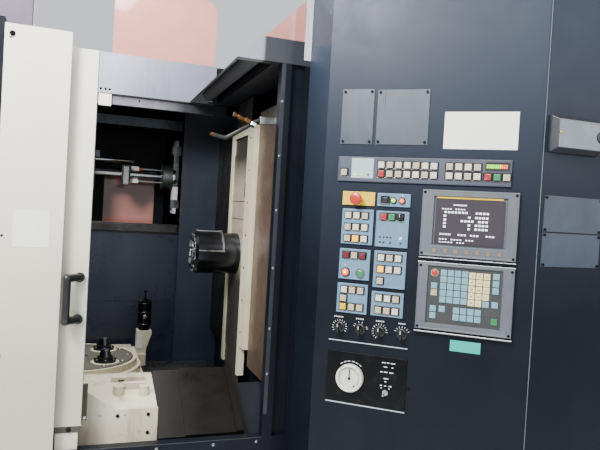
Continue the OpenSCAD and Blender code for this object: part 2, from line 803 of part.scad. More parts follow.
// Rear part: roof, back panel and the partition behind the changer
module rear_housing() {
  color("midnightblue") {
    block(left_wall_x, tower_x, header_y + 20, half_d, header_z1 - panel_t, header_z1);
    block(left_wall_x, left_wall_x + sheet_t, header_y + 20, half_d - panel_t, housing_top + panel_t,
      header_z1 - panel_t);
    block(left_wall_x + 3, tower_x, half_d - lip_w, half_d - panel_t, foot_h, foot_h + lip_h);
    block(left_wall_x + 3, tower_x, half_d - panel_t, half_d, foot_h, header_z1 - panel_t);
    block(left_wall_x, left_wall_x + 3, half_d - panel_t, half_d, housing_top + panel_t, header_z1 - panel_t);
    block(left_wall_x + 3, 180, partition_y, partition_y + sheet_t, bed_z, header_z1 - panel_t);
  }
}

// Housing of the column
module right_housing() {
  color("midnightblue") {
    block(half_w - panel_t, half_w, door_y, half_d - panel_t, foot_h, roof_z);
    block(tower_x, half_w, half_d - panel_t, half_d, foot_h, roof_z);
    block(tower_x, half_w - panel_t, half_d - lip_w, half_d - panel_t, foot_h, foot_h + lip_h);
    block(half_w - lip_w - 40, half_w - panel_t, sill_back, half_d - panel_t, foot_h, foot_h + lip_h);
    block(tower_x, half_w, door_y, half_d, roof_z, roof_z + panel_t);
    block(tower_x, tower_x + sheet_t, door_y, half_d - panel_t, beam_z + beam_h, roof_z);
    block(tower_x, tower_x + sheet_t, corner_y + 20, half_d - panel_t, bed_z, beam_z + beam_h);
    block(pit_wall_x, pit_wall_x + sheet_t, sill_back, corner_y, bed_z, 900);
    translate([slot_left, 0, 0]) rotate([90, 0, 90]) linear_extrude(pit_wall_x - slot_left) polygon([
      [cover_front_y + 10, cover_front_z - slot_drop], [cover_ridge_y - 10, cover_ridge_z - slot_drop],
      [cover_ridge_y - 10, cover_ridge_z - slot_drop - 150],
      [cover_ridge_y - 10 - sheet_t, cover_ridge_z - slot_drop - 150],
      [cover_ridge_y - 10 - sheet_t, cover_ridge_z - slot_drop - sheet_t - 2],
      [cover_front_y + 10, cover_front_z - slot_drop - sheet_t]]);
  }
}

// Console tower and cabinet, a folded shell with a door opening in its front
module console_tower() {
  color("darkslateblue") difference() {
    tower_outline(foot_h, tower_top, 0);
    tower_outline(foot_h + sheet_t, tower_top - sheet_t, sheet_t);
    block(cab_door_left - 2, half_w - 40, cab_front - 1, cab_front + sheet_t + 1, 160, 2300);
  }
  color("darkslateblue") for (z = hinge_z) for (dz = [-knuckle_h - run_gap, knuckle_h + run_gap]) {
    translate([hinge_x, hinge_y, z + dz]) cylinder(h = knuckle_h, d = 16);
    block(hinge_x, hinge_x + 22, cab_front - 8, cab_front, z + dz, z + dz + knuckle_h);
  }
}

// Hinge line of the cabinet door and its free edge beside the fold
cab_door_left = face_end_x + 10;
hinge_x = half_w - 40;
hinge_y = cab_front - 8;
hinge_z = [400, 1230, 2060];
knuckle_h = 40;
latch_z = 760;

module tower_outline(z0, z1, inset) {
  translate([0, 0, z0]) linear_extrude(z1 - z0) polygon([[tower_x + inset, door_y - inset],
    [tower_x + inset, side_front_y + inset * 0.65], [face_end_x + inset * 0.36, cab_front + inset],
    [half_w - inset, cab_front + inset], [half_w - inset, door_y - inset]]);
}

module cabinet_door() {
  color("darkslateblue") block(cab_door_left, half_w - 40 - 2, cab_front, cab_front + 20, 162, 2298);
  color("darkslateblue") for (z = hinge_z) {
    translate([hinge_x, hinge_y, z]) cylinder(h = knuckle_h, d = 16);
    block(hinge_x - 24, hinge_x, cab_front - 8, cab_front, z, z + knuckle_h);
  }
}

module cabinet_latch() {
  color("silver") rod_y(cab_front - 12, cab_front - run_gap, face_end_x + 80, latch_z, 40);
  color("silver") block(face_end_x + 72, face_end_x + 88, cab_front - 26, cab_front - 12, latch_z - 60, latch_z + 15);
}

module junction_box() {
  x0 = face_end_x + 20;
  color("slategray") block(x0, x0 + 190, cab_front - box_proud, cab_front, 1776, 1888);
}

module console_plates() {
  color("darkslateblue") on_face() {
    face_plate(51, 160, 1788, 1971, 3);
    face_plate(171, 341, 1788, 1968, 3);
    face_plate(391, 614, 1778, 1895, 1);
    face_plate(450, 543, 1140, 1175, 1);
  }
}

// Place of the emergency stop on the console face
estop_u = 123;
estop_z = 1606;

// One key panel with a grid of keys
module key_panel(u0, u1, z0, z1, cols, rows) {
  color("steelblue") face_plate(u0, u1, z0, z1, 4);
  pu = (u1 - u0) / cols;
  pz = (z1 - z0) / rows;
  key = 20;
  color("gainsboro") for (i = [0 : cols - 1]) for (j = [0 : rows - 1])
    face_plate(u0 + pu * (i + 0.5) - key / 2, u0 + pu * (i + 0.5) + key / 2,
      z0 + pz * (j + 0.5) - key / 2, z0 + pz * (j + 0.5) + key / 2, 6, 4);
}

module key_panels() {
  on_face() {
    key_panel(74, 184, 1456, 1571, 3, 3);
    key_panel(190, 304, 1452, 1569, 3, 3);
    key_panel(75, 181, 1335, 1440, 3, 3);
    key_panel(188, 304, 1320, 1440, 3, 3);
    key_panel(72, 181, 1225, 1323, 3, 3);
    key_panel(190, 301, 1225, 1306, 3, 2);
    color("steelblue") face_plate(190, 301, 1587, 1627, 4);
    color("gold") face_plate(72, 182, 1585, 1628, 4);
    color("black") face_plate(51, 602, 1666, 1743, 8);
    color("gold") difference() {
      rod_y(-16, -4, estop_u, estop_z, estop_d * 0.85);
      rod_y(-17, -8, estop_u, estop_z, estop_d * 0.6 + 2 * run_gap);
    }
    for (i = [0 : 6]) color("gainsboro") for (z = [1676, 1712])
      face_plate(205 + i * 28, 205 + i * 28 + 20, z, z + 20, 5, 8);
    for (i = [0 : 3]) color("gainsboro") for (z = [1676, 1712])
      face_plate(410 + i * 28, 410 + i * 28 + 20, z, z + 20, 5, 8);
    for (p = [[545, 1712], [572, 1712], [62, 1694]]) color("gainsboro")
      face_plate(p[0], p[0] + 20, p[1], p[1] + 20, 5, 8);
  }
}

// Screen unit with its screen and a row of soft keys
module crt_unit() {
  on_face() {
    color([0.15, 0.15, 0.16]) difference() {
      face_plate(unit_u, unit_u + unit_w, crt_z, crt_z + unit_h, unit_t);
      block(unit_u + 34, unit_u + unit_w - 34, -unit_t - 1, -4, crt_z + 34, crt_z + unit_h - 18);
    }
    color([0.15, 0.15, 0.16]) for (i = [0 : 6])
      face_plate(unit_u + 34 + i * 32, unit_u + 34 + i * 32 + 26, crt_z + 8, crt_z + 24, 4, unit_t);
  }
}

module mdi_unit() {
  on_face() {
    color([0.15, 0.15, 0.16]) difference() {
      face_plate(unit_u, unit_u + unit_w, mdi_z, mdi_z + unit_h, unit_t);
      block(unit_u + 34, unit_u + unit_w - 34, -unit_t - 1, -8, mdi_z + 22, mdi_z + unit_h - 8);
    }
    color("steelblue") for (i = [0 : 7]) for (j = [0 : 6])
      face_plate(unit_u + 44 + i * 26, unit_u + 44 + i * 26 + 20, mdi_z + 30 + j * 24,
        mdi_z + 30 + j * 24 + 18, 7, 8);
  }
}

module estop_button() {
  travel = 4;
  color("red") on_face() {
    rod_y(-26, -8 - travel - run_gap, estop_u, estop_z, estop_d * 0.6);
    rod_y(-38, -24, estop_u, estop_z, estop_d);
  }
}

// One rotary knob with a pointer bar
knob_u = [86, 157, 223, 296];
module knob(u) {
  color([0.1, 0.1, 0.1]) on_face() {
    rod_y(-22, -run_gap, u, knob_z, knob_d);
    face_plate(u - 4, u + 4, knob_z - knob_d / 2 + 1, knob_z + knob_d / 2 - 1, 8, 22);
  }
}
module knob_1() { knob(knob_u[0]); }
module knob_2() { knob(knob_u[1]); }
module knob_3() { knob(knob_u[2]); }
module knob_4() { knob(knob_u[3]); }

// Black panel with the pressure gauge body
gauge_u = 134;
gauge_z = 1009;
toggle_u = 254;
toggle_z = 976;
module gauge_panel() {
  on_face() {
    color([0.08, 0.08, 0.08]) face_plate(51, 320, 925, 1093, 3);
    color("gainsboro") difference() {
      rod_y(-25, -3, gauge_u, gauge_z, gauge_d);
      rod_y(-26, -15, gauge_u, gauge_z, gauge_d - 8);
    }
    color("gray") rod_y(-19, -15, gauge_u, gauge_z, 6);
    color("gray") rod_y(-11, -3, toggle_u, toggle_z, 22);
  }
}

module gauge_needle() {
  color("black") on_face() {
    rod_y(-21, -19 - run_gap, gauge_u, gauge_z, 10);
    face_plate(gauge_u - 1.5, gauge_u + 1.5, gauge_z, gauge_z + 32, 1.4, 19 + run_gap);
  }
}

module toggle_lever() {
  ball_y = -11 - run_gap - 5;
  color("silver") on_face() {
    rod_y(ball_y - 26, ball_y, toggle_u, toggle_z, 7);
    translate([toggle_u, ball_y, toggle_z]) sphere(d = 10);
    rod_x(toggle_u - 8, toggle_u + 8, ball_y, toggle_z, 4);
  }
}

leveling_feet();
bed_casting();
linear_rails();
way_cover_fixed();
way_cover_mid();
way_cover_end();
table_base();
rotary_table();
pallet_cones();
setter_bracket();
setter_probe();
column_casting();
column_frame();
side_cover_end();
side_cover_mid();
side_cover_fixed();
head_casting();
head_plate();
head_cover_mid();
head_cover_fixed();
spindle_housing();
spindle_shaft();
drawbar();
coolant_tube();
coolant_nozzles();
back_wall();
corner_panel();
rear_header();
tinted_windows();
atc_gearbox();
atc_shaft();
atc_arm();
magazine_drum();
front_sill();
front_jamb();
roof_beam();
shade_roller();
fixed_panel();
sliding_door();
door_handle();
door_foot();
left_housing();
rear_housing();
right_housing();
console_tower();
cabinet_door();
cabinet_latch();
junction_box();
console_plates();
key_panels();
crt_unit();
mdi_unit();
estop_button();
knob_1();
knob_2();
knob_3();
knob_4();
gauge_panel();
gauge_needle();
toggle_lever();
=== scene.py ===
import math

import bmesh
import bpy
from mathutils import Matrix, Vector


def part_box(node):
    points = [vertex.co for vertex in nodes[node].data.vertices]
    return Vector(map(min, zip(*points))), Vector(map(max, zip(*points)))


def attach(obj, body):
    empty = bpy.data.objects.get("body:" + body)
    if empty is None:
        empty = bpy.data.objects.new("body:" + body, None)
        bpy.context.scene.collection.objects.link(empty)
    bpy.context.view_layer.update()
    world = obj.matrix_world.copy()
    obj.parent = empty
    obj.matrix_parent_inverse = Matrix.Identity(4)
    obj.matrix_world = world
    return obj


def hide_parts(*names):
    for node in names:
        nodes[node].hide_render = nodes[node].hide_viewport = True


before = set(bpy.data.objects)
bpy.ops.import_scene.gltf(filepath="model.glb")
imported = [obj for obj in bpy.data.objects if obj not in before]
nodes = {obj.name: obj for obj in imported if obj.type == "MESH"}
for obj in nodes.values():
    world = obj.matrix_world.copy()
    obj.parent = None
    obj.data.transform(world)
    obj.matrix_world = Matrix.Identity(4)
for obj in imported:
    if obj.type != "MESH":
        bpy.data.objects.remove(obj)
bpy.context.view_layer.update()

# camera
CAMERA_PLACE = Vector((-0.3, -2.895, 1.55))
YAW, PITCH, ROLL = (math.radians(a) for a in (19.7, -1.2, 3.3))


def aim():
    ahead = Vector((math.sin(YAW) * math.cos(PITCH), math.cos(YAW) * math.cos(PITCH), math.sin(PITCH)))
    level = Vector((math.cos(YAW), -math.sin(YAW), 0))
    upright = level.cross(ahead)
    right = math.cos(ROLL) * level + math.sin(ROLL) * upright
    up = -math.sin(ROLL) * level + math.cos(ROLL) * upright
    return Matrix((right, up, -ahead)).transposed().to_4x4()


lens = bpy.data.cameras.new("photo_view")
lens.sensor_width = 36.0
lens.lens = 36.0
lens.clip_start = 0.05
lens.clip_end = 60
photo_view = bpy.data.objects.new("photo_view", lens)
photo_view.matrix_world = Matrix.Translation(CAMERA_PLACE) @ aim()
bpy.context.scene.collection.objects.link(photo_view)
bpy.context.scene.camera = photo_view


# finishes
class Finish:
    """One material, new or made before, and the nodes that are being added to it."""

    def __init__(self, start):
        self.material = bpy.data.materials.new(start) if isinstance(start, str) else start
        self.material.use_nodes = True
        self.tree = self.material.node_tree
        self.shader = self.tree.nodes["Principled BSDF"]
        self.place = self.tree.nodes.new("ShaderNodeTexCoord").outputs["Object"]

    def join(self, a, b):
        self.tree.links.new(a, b)

    def node(self, kind, source=None, into="Vector", **values):
        """Adds a node, sets its inputs (with _ for a space) and joins a source to one of them."""
        made = self.tree.nodes.new("ShaderNode" + kind)
        for name, value in values.items():
            made.inputs[name.replace("_", " ")].default_value = value
        if source is not None:
            self.join(source, made.inputs[into])
        return made

    def give(self, **values):
        """Sets inputs of the shader, or feeds them from a socket."""
        for name, value in values.items():
            socket = self.shader.inputs[name.replace("_", " ")]
            if isinstance(value, bpy.types.NodeSocket):
                self.join(value, socket)
            else:
                socket.default_value = value

    def stretched(self, scale):
        return self.node("Mapping", self.place, Scale=scale).outputs["Vector"]

    def clouds(self, scale, detail=6, rough=0.6, at=None, warp=0):
        return self.node("TexNoise", at or self.place, Scale=scale, Detail=detail, Roughness=rough,
                         Distortion=warp).outputs["Fac"]

    def ramp(self, source, low, high, from_value=0, to_value=1):
        return self.node("MapRange", source, "Value", From_Min=low, From_Max=high, To_Min=from_value,
                         To_Max=to_value).outputs["Result"]

    def mix(self, share, first, second):
        node = self.node("Mix")
        node.data_type = "RGBA"
        self.join(share, node.inputs["Factor"])
        for value, socket in ((first, node.inputs["A"]), (second, node.inputs["B"])):
            if isinstance(value, (tuple, list)):
                socket.default_value = (*value, 1)
            else:
                self.join(value, socket)
        return node.outputs["Result"]

    def bumps(self, source, strength, depth):
        node = self.node("Bump", source, "Height", Strength=strength, Distance=depth)
        self.join(node.outputs["Normal"], self.shader.inputs["Normal"])


def srgb(colour):
    """Linear light from a colour in steps of 0 to 255."""
    return tuple(v / 12.92 if v <= 0.04045 else ((v + 0.055) / 1.055) ** 2.4
                 for v in (c / 255 for c in colour))


def paint(name, colour, smudge, dirt, gloss, patch, reach, soil, metallic=0):
    """Sprayed enamel: cloudy wiped smudges, soil that runs down, small scuffs and a fine orange peel."""
    f = Finish(name)
    wiped = f.ramp(f.clouds(patch, 8, 0.65, f.stretched((1, 1, 0.55)), 0.6), 0.42, 0.75, 0, reach)
    runs = f.ramp(f.clouds(9, 5, 0.7, f.stretched((1, 1, 0.09))), 0.52, 0.8, 0, soil)
    specks = f.ramp(f.clouds(55, 3, 0.6), 0.66, 0.74, 0, soil)
    base = f.mix(wiped, srgb(colour), srgb(smudge))
    for share in (runs, specks):
        base = f.mix(share, base, srgb(dirt))
    rough = f.ramp(f.clouds(patch * 2.5, 7, 0.7, None, 0.8), 0.35, 0.7, *gloss)
    f.give(Base_Color=base, Roughness=rough, Metallic=metallic)
    f.bumps(f.clouds(700, 2, 0.5), 0.12, 0.0006)
    return f.material


def sheet_metal(name, colour, stain, rough, brush, stains, metallic=1):
    """Oily bare sheet: brushed one way, with dried coolant stains."""
    f = Finish(name)
    colour = srgb(colour)
    lines = f.clouds(6, 4, 0.7, f.stretched(brush))
    pools = f.ramp(f.clouds(5, 8, 0.7, None, 1), 0.4, 0.72, 0, stains)
    base = f.mix(f.ramp(lines, 0.3, 0.7), tuple(c * 0.8 for c in colour), colour)
    f.give(Base_Color=f.mix(pools, base, srgb(stain)),
           Roughness=f.ramp(f.clouds(7, 6, 0.7), 0.3, 0.7, *rough),
           Metallic=metallic)
    f.bumps(lines, 0.1, 0.0006)
    return f.material


def plastic(name, colour, rough, grain=1200, coat=0, dust=None, share=0.25):
    """Moulded plastic with a fine spark-eroded grain and some dust."""
    f = Finish(name)
    colour = srgb(colour)
    dust = srgb(dust) if dust else tuple(min(1, c * 1.5 + 0.03) for c in colour)
    f.give(Base_Color=f.mix(f.ramp(f.clouds(22, 6, 0.7), 0.5, 0.8, 0, share), colour, dust),
           Roughness=f.ramp(f.clouds(30, 4), 0.3, 0.7, rough - 0.07, rough + 0.07), Coat_Weight=coat)
    f.bumps(f.clouds(grain, 2), 0.06, 0.0004)
    return f.material


def lamp(name, colour, strength):
    """A lit lens: coloured plastic that also gives light."""
    f = Finish(name)
    colour = srgb(colour)
    glow = f.mix(f.ramp(f.clouds(90, 2), 0.4, 0.7), colour, tuple(min(1, c * 1.3 + 0.05) for c in colour))
    f.give(Base_Color=glow, Emission_Color=(*colour, 1), Emission_Strength=strength, Roughness=0.25)
    return f.material


def tinted(name, colour):
    """A copper tinted acrylic pane with wipe marks."""
    f = Finish(name)
    colour = srgb(colour)
    wiped = f.ramp(f.clouds(3, 7, 0.65, None, 1), 0.4, 0.75, 0, 0.35)
    f.give(Base_Color=f.mix(wiped, colour, tuple(c * 1.35 for c in colour)), Alpha=0.72,
           Specular_IOR_Level=0.8,
           Roughness=f.ramp(f.clouds(6, 6), 0.4, 0.75, 0.06, 0.18), Coat_Weight=0.6)
    return f.material


def painted_light_along(material, axis, plain_at, full_at, colour, reach):
    """Painted light and shade: a colour mixed in by position, growing from one place to another along an axis
    of the machine.
    """
    f = Finish(material)
    share = f.ramp(f.node("SeparateXYZ", f.place).outputs[axis], plain_at, full_at, 0, reach)
    below = f.shader.inputs["Base Color"].links[0].from_socket
    f.give(Base_Color=f.mix(share, below, srgb(colour)))
    return material


def mirroring(material, level):
    """Sets how strongly a finish mirrors its surroundings."""
    material.node_tree.nodes["Principled BSDF"].inputs["Specular IOR Level"].default_value = level
    return material


navy = paint("navy_enamel", (13, 16, 22), (25, 30, 38), (9, 10, 12), (0.3, 0.46), 2.4, 0.55, 0.3)
navy_face = paint("console_enamel", (16, 20, 27), (26, 32, 41), (11, 13, 17), (0.3, 0.42), 3, 0.5, 0.18)
for shade in (navy, navy_face):
    mirroring(shade, 0.14)
navy_dark = paint("oily_navy", (27, 33, 46), (50, 58, 74), (12, 13, 16), (0.24, 0.45), 3, 0.5, 0.5)
ivory = paint("ivory_enamel", (246, 243, 228), (228, 223, 203), (168, 154, 124), (0.34, 0.5), 2, 0.6, 0.16)
cream = paint("cream_enamel", (200, 193, 168), (172, 162, 130), (84, 70, 48), (0.36, 0.6), 5, 0.75, 0.7)
grey_blue = paint("grey_blue_enamel", (120, 127, 139), (150, 156, 164), (62, 64, 70), (0.34, 0.55), 3.5, 0.6,
                  0.45)
dark_grey = paint("dark_grey_enamel", (52, 54, 60), (78, 80, 86), (25, 24, 24), (0.35, 0.5), 4, 0.5, 0.4)
way_sheet = sheet_metal("oily_way_sheet", (20, 18, 15), (8, 7, 6), (0.24, 0.5), (2, 60, 60), 0.6, 0.8)
steel = sheet_metal("ground_steel", (168, 170, 172), (90, 84, 78), (0.18, 0.4), (40, 40, 8), 0.4)
black_steel = sheet_metal("black_oxide", (30, 31, 34), (16, 15, 15), (0.16, 0.36), (30, 30, 30), 0.4, 0.85)
iron = paint("oily_iron", (34, 34, 34), (24, 24, 24), (16, 14, 12), (0.35, 0.6), 7, 0.6, 0.5, 0.3)
brass = sheet_metal("brass", (190, 150, 88), (90, 66, 40), (0.2, 0.4), (40, 40, 40), 0.4)
black = plastic("black_plastic", (22, 22, 24), 0.32, 1400)
panel_black = plastic("panel_black", (21, 22, 26), 0.38, 1400)
crt_case = plastic("unit_case", (40, 43, 48), 0.42)
key_blue = plastic("key_blue", (74, 104, 128), 0.45)
red = plastic("red_plastic", (176, 28, 22), 0.28, 1400, 0.3)
pane = tinted("copper_pane", (196, 130, 118))

header_paint = paint("header_enamel", (152, 157, 170), (118, 122, 134), (74, 76, 84), (0.32, 0.5), 5, 0.9,
                     0.5)
beam_paint = paint("beam_enamel", (138, 140, 150), (158, 160, 168), (84, 84, 92), (0.32, 0.5), 4, 0.6, 0.4)
disc_grey = paint("disc_grey", (96, 93, 82), (78, 75, 66), (46, 42, 36), (0.3, 0.5), 7, 0.7, 0.5)
cone_steel = sheet_metal("cone_steel", (70, 70, 76), (36, 35, 36), (0.14, 0.32), (30, 30, 30), 0.4, 0.9)
shoe_steel = sheet_metal("shoe_steel", (74, 68, 55), (40, 35, 28), (0.4, 0.6), (3, 60, 60), 0.5, 0.2)
nose_steel = sheet_metal("turned_steel", (66, 69, 75), (46, 47, 50), (0.17, 0.27), (90, 2, 2), 0.25, 0.95)
# a lighter copy of the enclosure navy for the corner panel: painted light, the highlight the panel catches
navy_wall = paint("wall_enamel", (30, 38, 50), (50, 59, 74), (18, 21, 26), (0.3, 0.46), 2.4, 0.55, 0.4)
head_beige = sheet_metal("head_beige", (190, 182, 160), (120, 110, 90), (0.3, 0.5), (60, 60, 2), 0.5, 0.3)
side_bronze = sheet_metal("side_bronze", (122, 102, 88), (58, 46, 40), (0.25, 0.5), (60, 60, 2), 0.6, 0.6)
roller_grey = plastic("roller_grey", (96, 97, 102), 0.4, 900)
oily_black = paint("oily_black", (20, 21, 24), (38, 40, 44), (10, 10, 10), (0.2, 0.4), 4, 0.5, 0.5)

# painted light and shade, each a colour mixed in along one axis of the machine
for painted_gradient in (
    # console face lighter towards the top: painted sheen of the lights above
    (navy_face, "Z", 1.3, 2.2, (48, 57, 71), 0.85),
    # door panels darker towards the bottom: painted shade
    (ivory, "Z", 2.05, 0.95, (172, 169, 149), 0.92),
    # header darker towards the right, under the ceiling: painted shade
    (header_paint, "X", -0.2, 0.16, (98, 101, 110), 0.85),
    # roof beam darker on its right facet: painted shade
    (beam_paint, "X", 0.274, 0.284, (22, 26, 34), 0.95),
    # head plate and covers darker below the spindle: painted shade
    (head_beige, "Z", 1.3, 1.2, (34, 33, 31), 0.9),
    # head plate and covers darker towards the top: painted shade
    (head_beige, "Z", 1.66, 1.8, (22, 24, 28), 0.9),
    # side covers darker towards the back: painted shade
    (side_bronze, "Y", -0.25, 0.1, (16, 15, 16), 0.95),
):
    painted_light_along(*painted_gradient)

for material, names in (
    (black_steel, "leveling_feet setter_probe"),
    (iron, "bed_casting magazine_drum"),
    (steel, "linear_rails spindle_shaft drawbar coolant_tube atc_shaft atc_arm cabinet_latch toggle_lever"),
    (way_sheet, "way_cover_fixed way_cover_mid way_cover_end"),
    (cream, "table_base setter_bracket column_frame head_casting"),
    (disc_grey, "rotary_table"),
    (cone_steel, "pallet_cones"),
    (oily_black, "column_casting"),
    (side_bronze, "side_cover_end side_cover_mid side_cover_fixed"),
    (head_beige, "head_plate head_cover_mid head_cover_fixed"),
    (nose_steel, "spindle_housing"),
    (brass, "coolant_nozzles"),
    (navy_dark, "back_wall"),
    (navy_wall, "corner_panel"),
    (header_paint, "rear_header"),
    (pane, "tinted_windows"),
    (dark_grey, "atc_gearbox junction_box"),
    (navy, "front_sill front_jamb left_housing rear_housing right_housing"),
    (beam_paint, "roof_beam"),
    (roller_grey, "shade_roller"),
    (ivory, "fixed_panel sliding_door"),
    (black, "door_handle knob_1 knob_2 knob_3 knob_4 gauge_needle"),
    (shoe_steel, "door_foot"),
    (navy_face, "console_tower cabinet_door console_plates"),
    (key_blue, "key_panels"),
    (crt_case, "crt_unit mdi_unit"),
    (red, "estop_button"),
    (panel_black, "gauge_panel"),
):
    for mesh in (nodes[name].data for name in names.split()):
        if not mesh.materials:
            mesh.materials.append(material)
        for slot in range(len(mesh.materials)):
            mesh.materials[slot] = material

# making tools, which all take millimetres
MM = 0.001
FRONT, UP, RIGHT, LEFT = (0, -1, 0), (0, 0, 1), (1, 0, 0), (-1, 0, 0)
CAB, LEAF = -1428, -830  # front faces of the cabinet and of the fixed door panel
CONSOLE_TURN = math.radians(39.4)
CONSOLE_CORNER = Vector((0.457, CAB * MM + 0.683 * math.sin(CONSOLE_TURN), 0))
console = Matrix.Translation(CONSOLE_CORNER) @ Matrix.Rotation(-CONSOLE_TURN, 4, "Z")


def deselect():
    bpy.ops.object.select_all(action="DESELECT")


def alone(ob):
    deselect()
    ob.select_set(True)
    bpy.context.view_layer.objects.active = ob
    return ob


def slab(x0, x1, y0, y1, z0, z1, bevel=0, segments=2):
    """A cube primitive by its six faces, with softened edges."""
    deselect()
    low, high = [c * MM for c in (x0, y0, z0)], [c * MM for c in (x1, y1, z1)]
    middle = [(a + b) / 2 for a, b in zip(low, high)]
    bpy.ops.mesh.primitive_cube_add(size=1, location=middle, scale=[b - a for a, b in zip(low, high)])
    ob = bpy.context.active_object
    bpy.ops.object.transform_apply()
    return soften(ob, bevel, segments) if bevel else ob


def soften(ob, width, segments=2, angle=35):
    alone(ob)
    bevel = ob.modifiers.new("bevel", "BEVEL")
    bevel.width = width * MM
    bevel.segments = segments
    bevel.limit_method = "ANGLE"
    bevel.angle_limit = math.radians(angle)
    bpy.ops.object.modifier_apply(modifier=bevel.name)
    return ob


def pick(ob, test):
    """Selects in edit mode the faces that pass the test, given their middle and normal."""
    alone(ob)
    bpy.ops.object.mode_set(mode="EDIT")
    bpy.ops.mesh.select_mode(type="FACE")
    bpy.ops.mesh.select_all(action="DESELECT")
    shape = bmesh.from_edit_mesh(ob.data)
    for face in shape.faces:
        face.select_set(test(face.calc_center_median(), face.normal))
    bmesh.update_edit_mesh(ob.data)


def facing(way):
    """A test for the faces that look in one direction."""
    return lambda middle, normal: normal.dot(Vector(way)) > 0.9


def smoothed(ob, degrees):
    alone(ob)
    bpy.ops.object.shade_smooth_by_angle(angle=math.radians(degrees))
    return ob


def leave():
    bpy.ops.object.mode_set(mode="OBJECT")


def inset(ob, thickness, depth):
    """Insets the faces that look to the front, and sinks or raises them."""
    pick(ob, facing(FRONT))
    bpy.ops.mesh.inset(thickness=thickness * MM, depth=depth * MM)
    leave()
    return ob


def draw_out(depth, scale, centre):
    """Extrudes the picked faces to the back, scales them about a centre and ends the edit."""
    bpy.ops.mesh.extrude_region_move(TRANSFORM_OT_translate={"value": (0, depth * MM, 0)})
    bpy.ops.transform.resize(value=scale, center_override=[c * MM for c in centre])
    leave()


def disc(centre, toward, steps, sides=32, smooth=40):
    """A disc that is extruded and scaled ring by ring along a direction: steps are (radius, height)."""
    steps = [(r * MM, h * MM) for r, h in steps]
    deselect()
    bpy.ops.mesh.primitive_circle_add(vertices=sides, radius=steps[0][0], fill_type="NGON")
    ob = bpy.context.active_object
    bpy.ops.object.mode_set(mode="EDIT")
    bpy.ops.mesh.select_all(action="SELECT")
    radius, height = steps[0]
    if height:
        bpy.ops.transform.translate(value=(0, 0, height))
    for next_radius, next_height in steps[1:]:
        bpy.ops.mesh.extrude_region_move(TRANSFORM_OT_translate={"value": (0, 0, next_height - height)})
        if abs(next_radius - radius) > 1e-7:
            share = next_radius / radius
            bpy.ops.transform.resize(value=(share, share, 1), center_override=(0, 0, next_height))
        radius, height = next_radius, next_height
    bpy.ops.mesh.select_all(action="SELECT")
    bpy.ops.mesh.normals_make_consistent(inside=False)
    leave()
    turn = Vector(toward).to_track_quat("Z", "Y").to_matrix().to_4x4()
    ob.matrix_world = Matrix.Translation([c * MM for c in centre]) @ turn
    bpy.ops.object.transform_apply()
    return smoothed(ob, smooth)


def spin(degrees, axis="Y"):
    return Matrix.Rotation(math.radians(degrees), 4, axis)


def again(ob, place=(0, 0, 0), turn=None):
    """A copy with its own mesh, moved or turned."""
    twin = ob.copy()
    twin.data = ob.data.copy()
    bpy.context.scene.collection.objects.link(twin)
    twin.data.transform(Matrix.Translation([c * MM for c in place]) @ (turn or Matrix.Identity(4)))
    return twin


def copies(ob, moves):
    """Copies of a piece, one for each (place, turn), joined in one; the first one is taken away."""
    made = [again(ob, *move) for move in moves]
    bpy.data.objects.remove(ob)
    return joined(made)


def screws(places, toward, steps, sides):
    """The same turned screw, bolt or cap at each place, joined in one."""
    return copies(disc((0, 0, 0), toward, steps, sides), [(place,) for place in places])


def round_about(x, y, radius, count, first=0):
    """Places on a level circle."""
    angles = [math.radians(first + 360 / count * i) for i in range(count)]
    return [(x + radius * math.cos(a), y + radius * math.sin(a)) for a in angles]


def joined(parts):
    deselect()
    for part in parts:
        part.select_set(True)
    bpy.context.view_layer.objects.active = parts[0]
    if len(parts) > 1:
        bpy.ops.object.join()
    return bpy.context.view_layer.objects.active


def finish(ob, name, material, body="frame", at=None, stands_for=()):
    """Names a piece, or parts that are joined, puts it in place, gives it its material and lets it ride."""
    ob = joined(ob) if isinstance(ob, list) else ob
    ob.name = name
    ob.data.name = name
    if at is not None:
        ob.matrix_world = at
        alone(ob)
        bpy.ops.object.transform_apply()
    ob.data.materials.clear()
    ob.data.materials.append(material)
    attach(ob, body)
    if stands_for:
        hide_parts(*stands_for)
    return ob


def fit(ob, name, material, body="frame", stands_for=()):
    """Finishes a piece that was made flat on the console's own face."""
    return finish(ob, name, material, body, console, stands_for)


def tube(points, radius, sides):
    """A bent rod: one round section carried along the points."""
    curve = bpy.data.curves.new("rod", "CURVE")
    curve.dimensions = "3D"
    curve.bevel_depth = radius * MM
    curve.bevel_resolution = max(1, sides // 4 - 1)
    curve.use_fill_caps = True
    line = curve.splines.new("POLY")
    line.points.add(len(points) - 1)
    for target, point in zip(line.points, points):
        target.co = (*[c * MM for c in point], 1)
    ob = bpy.data.objects.new("rod", curve)
    bpy.context.scene.collection.objects.link(ob)
    alone(ob)
    bpy.ops.object.convert(target="MESH")
    return smoothed(bpy.context.active_object, 50)


# console
def face_box(u0, u1, z0, z1, low, high, bevel=0):
    """A box on the console: across, up, and proud of the face."""
    return slab(u0, u1, -high, -low, z0, z1, bevel)


def face_disc(u, z, steps, sides=32):
    return disc((u, 0, z), FRONT, steps, sides)


def key_cap(size, low, high):
    """One square key cap with a dished, tapered top."""
    cap = face_box(-size / 2, size / 2, -size / 2, size / 2, low, high)
    inset(cap, size * 0.11, 0.8)
    inset(cap, size * 0.05, -0.5)
    return soften(cap, 0.5, 2, 25)


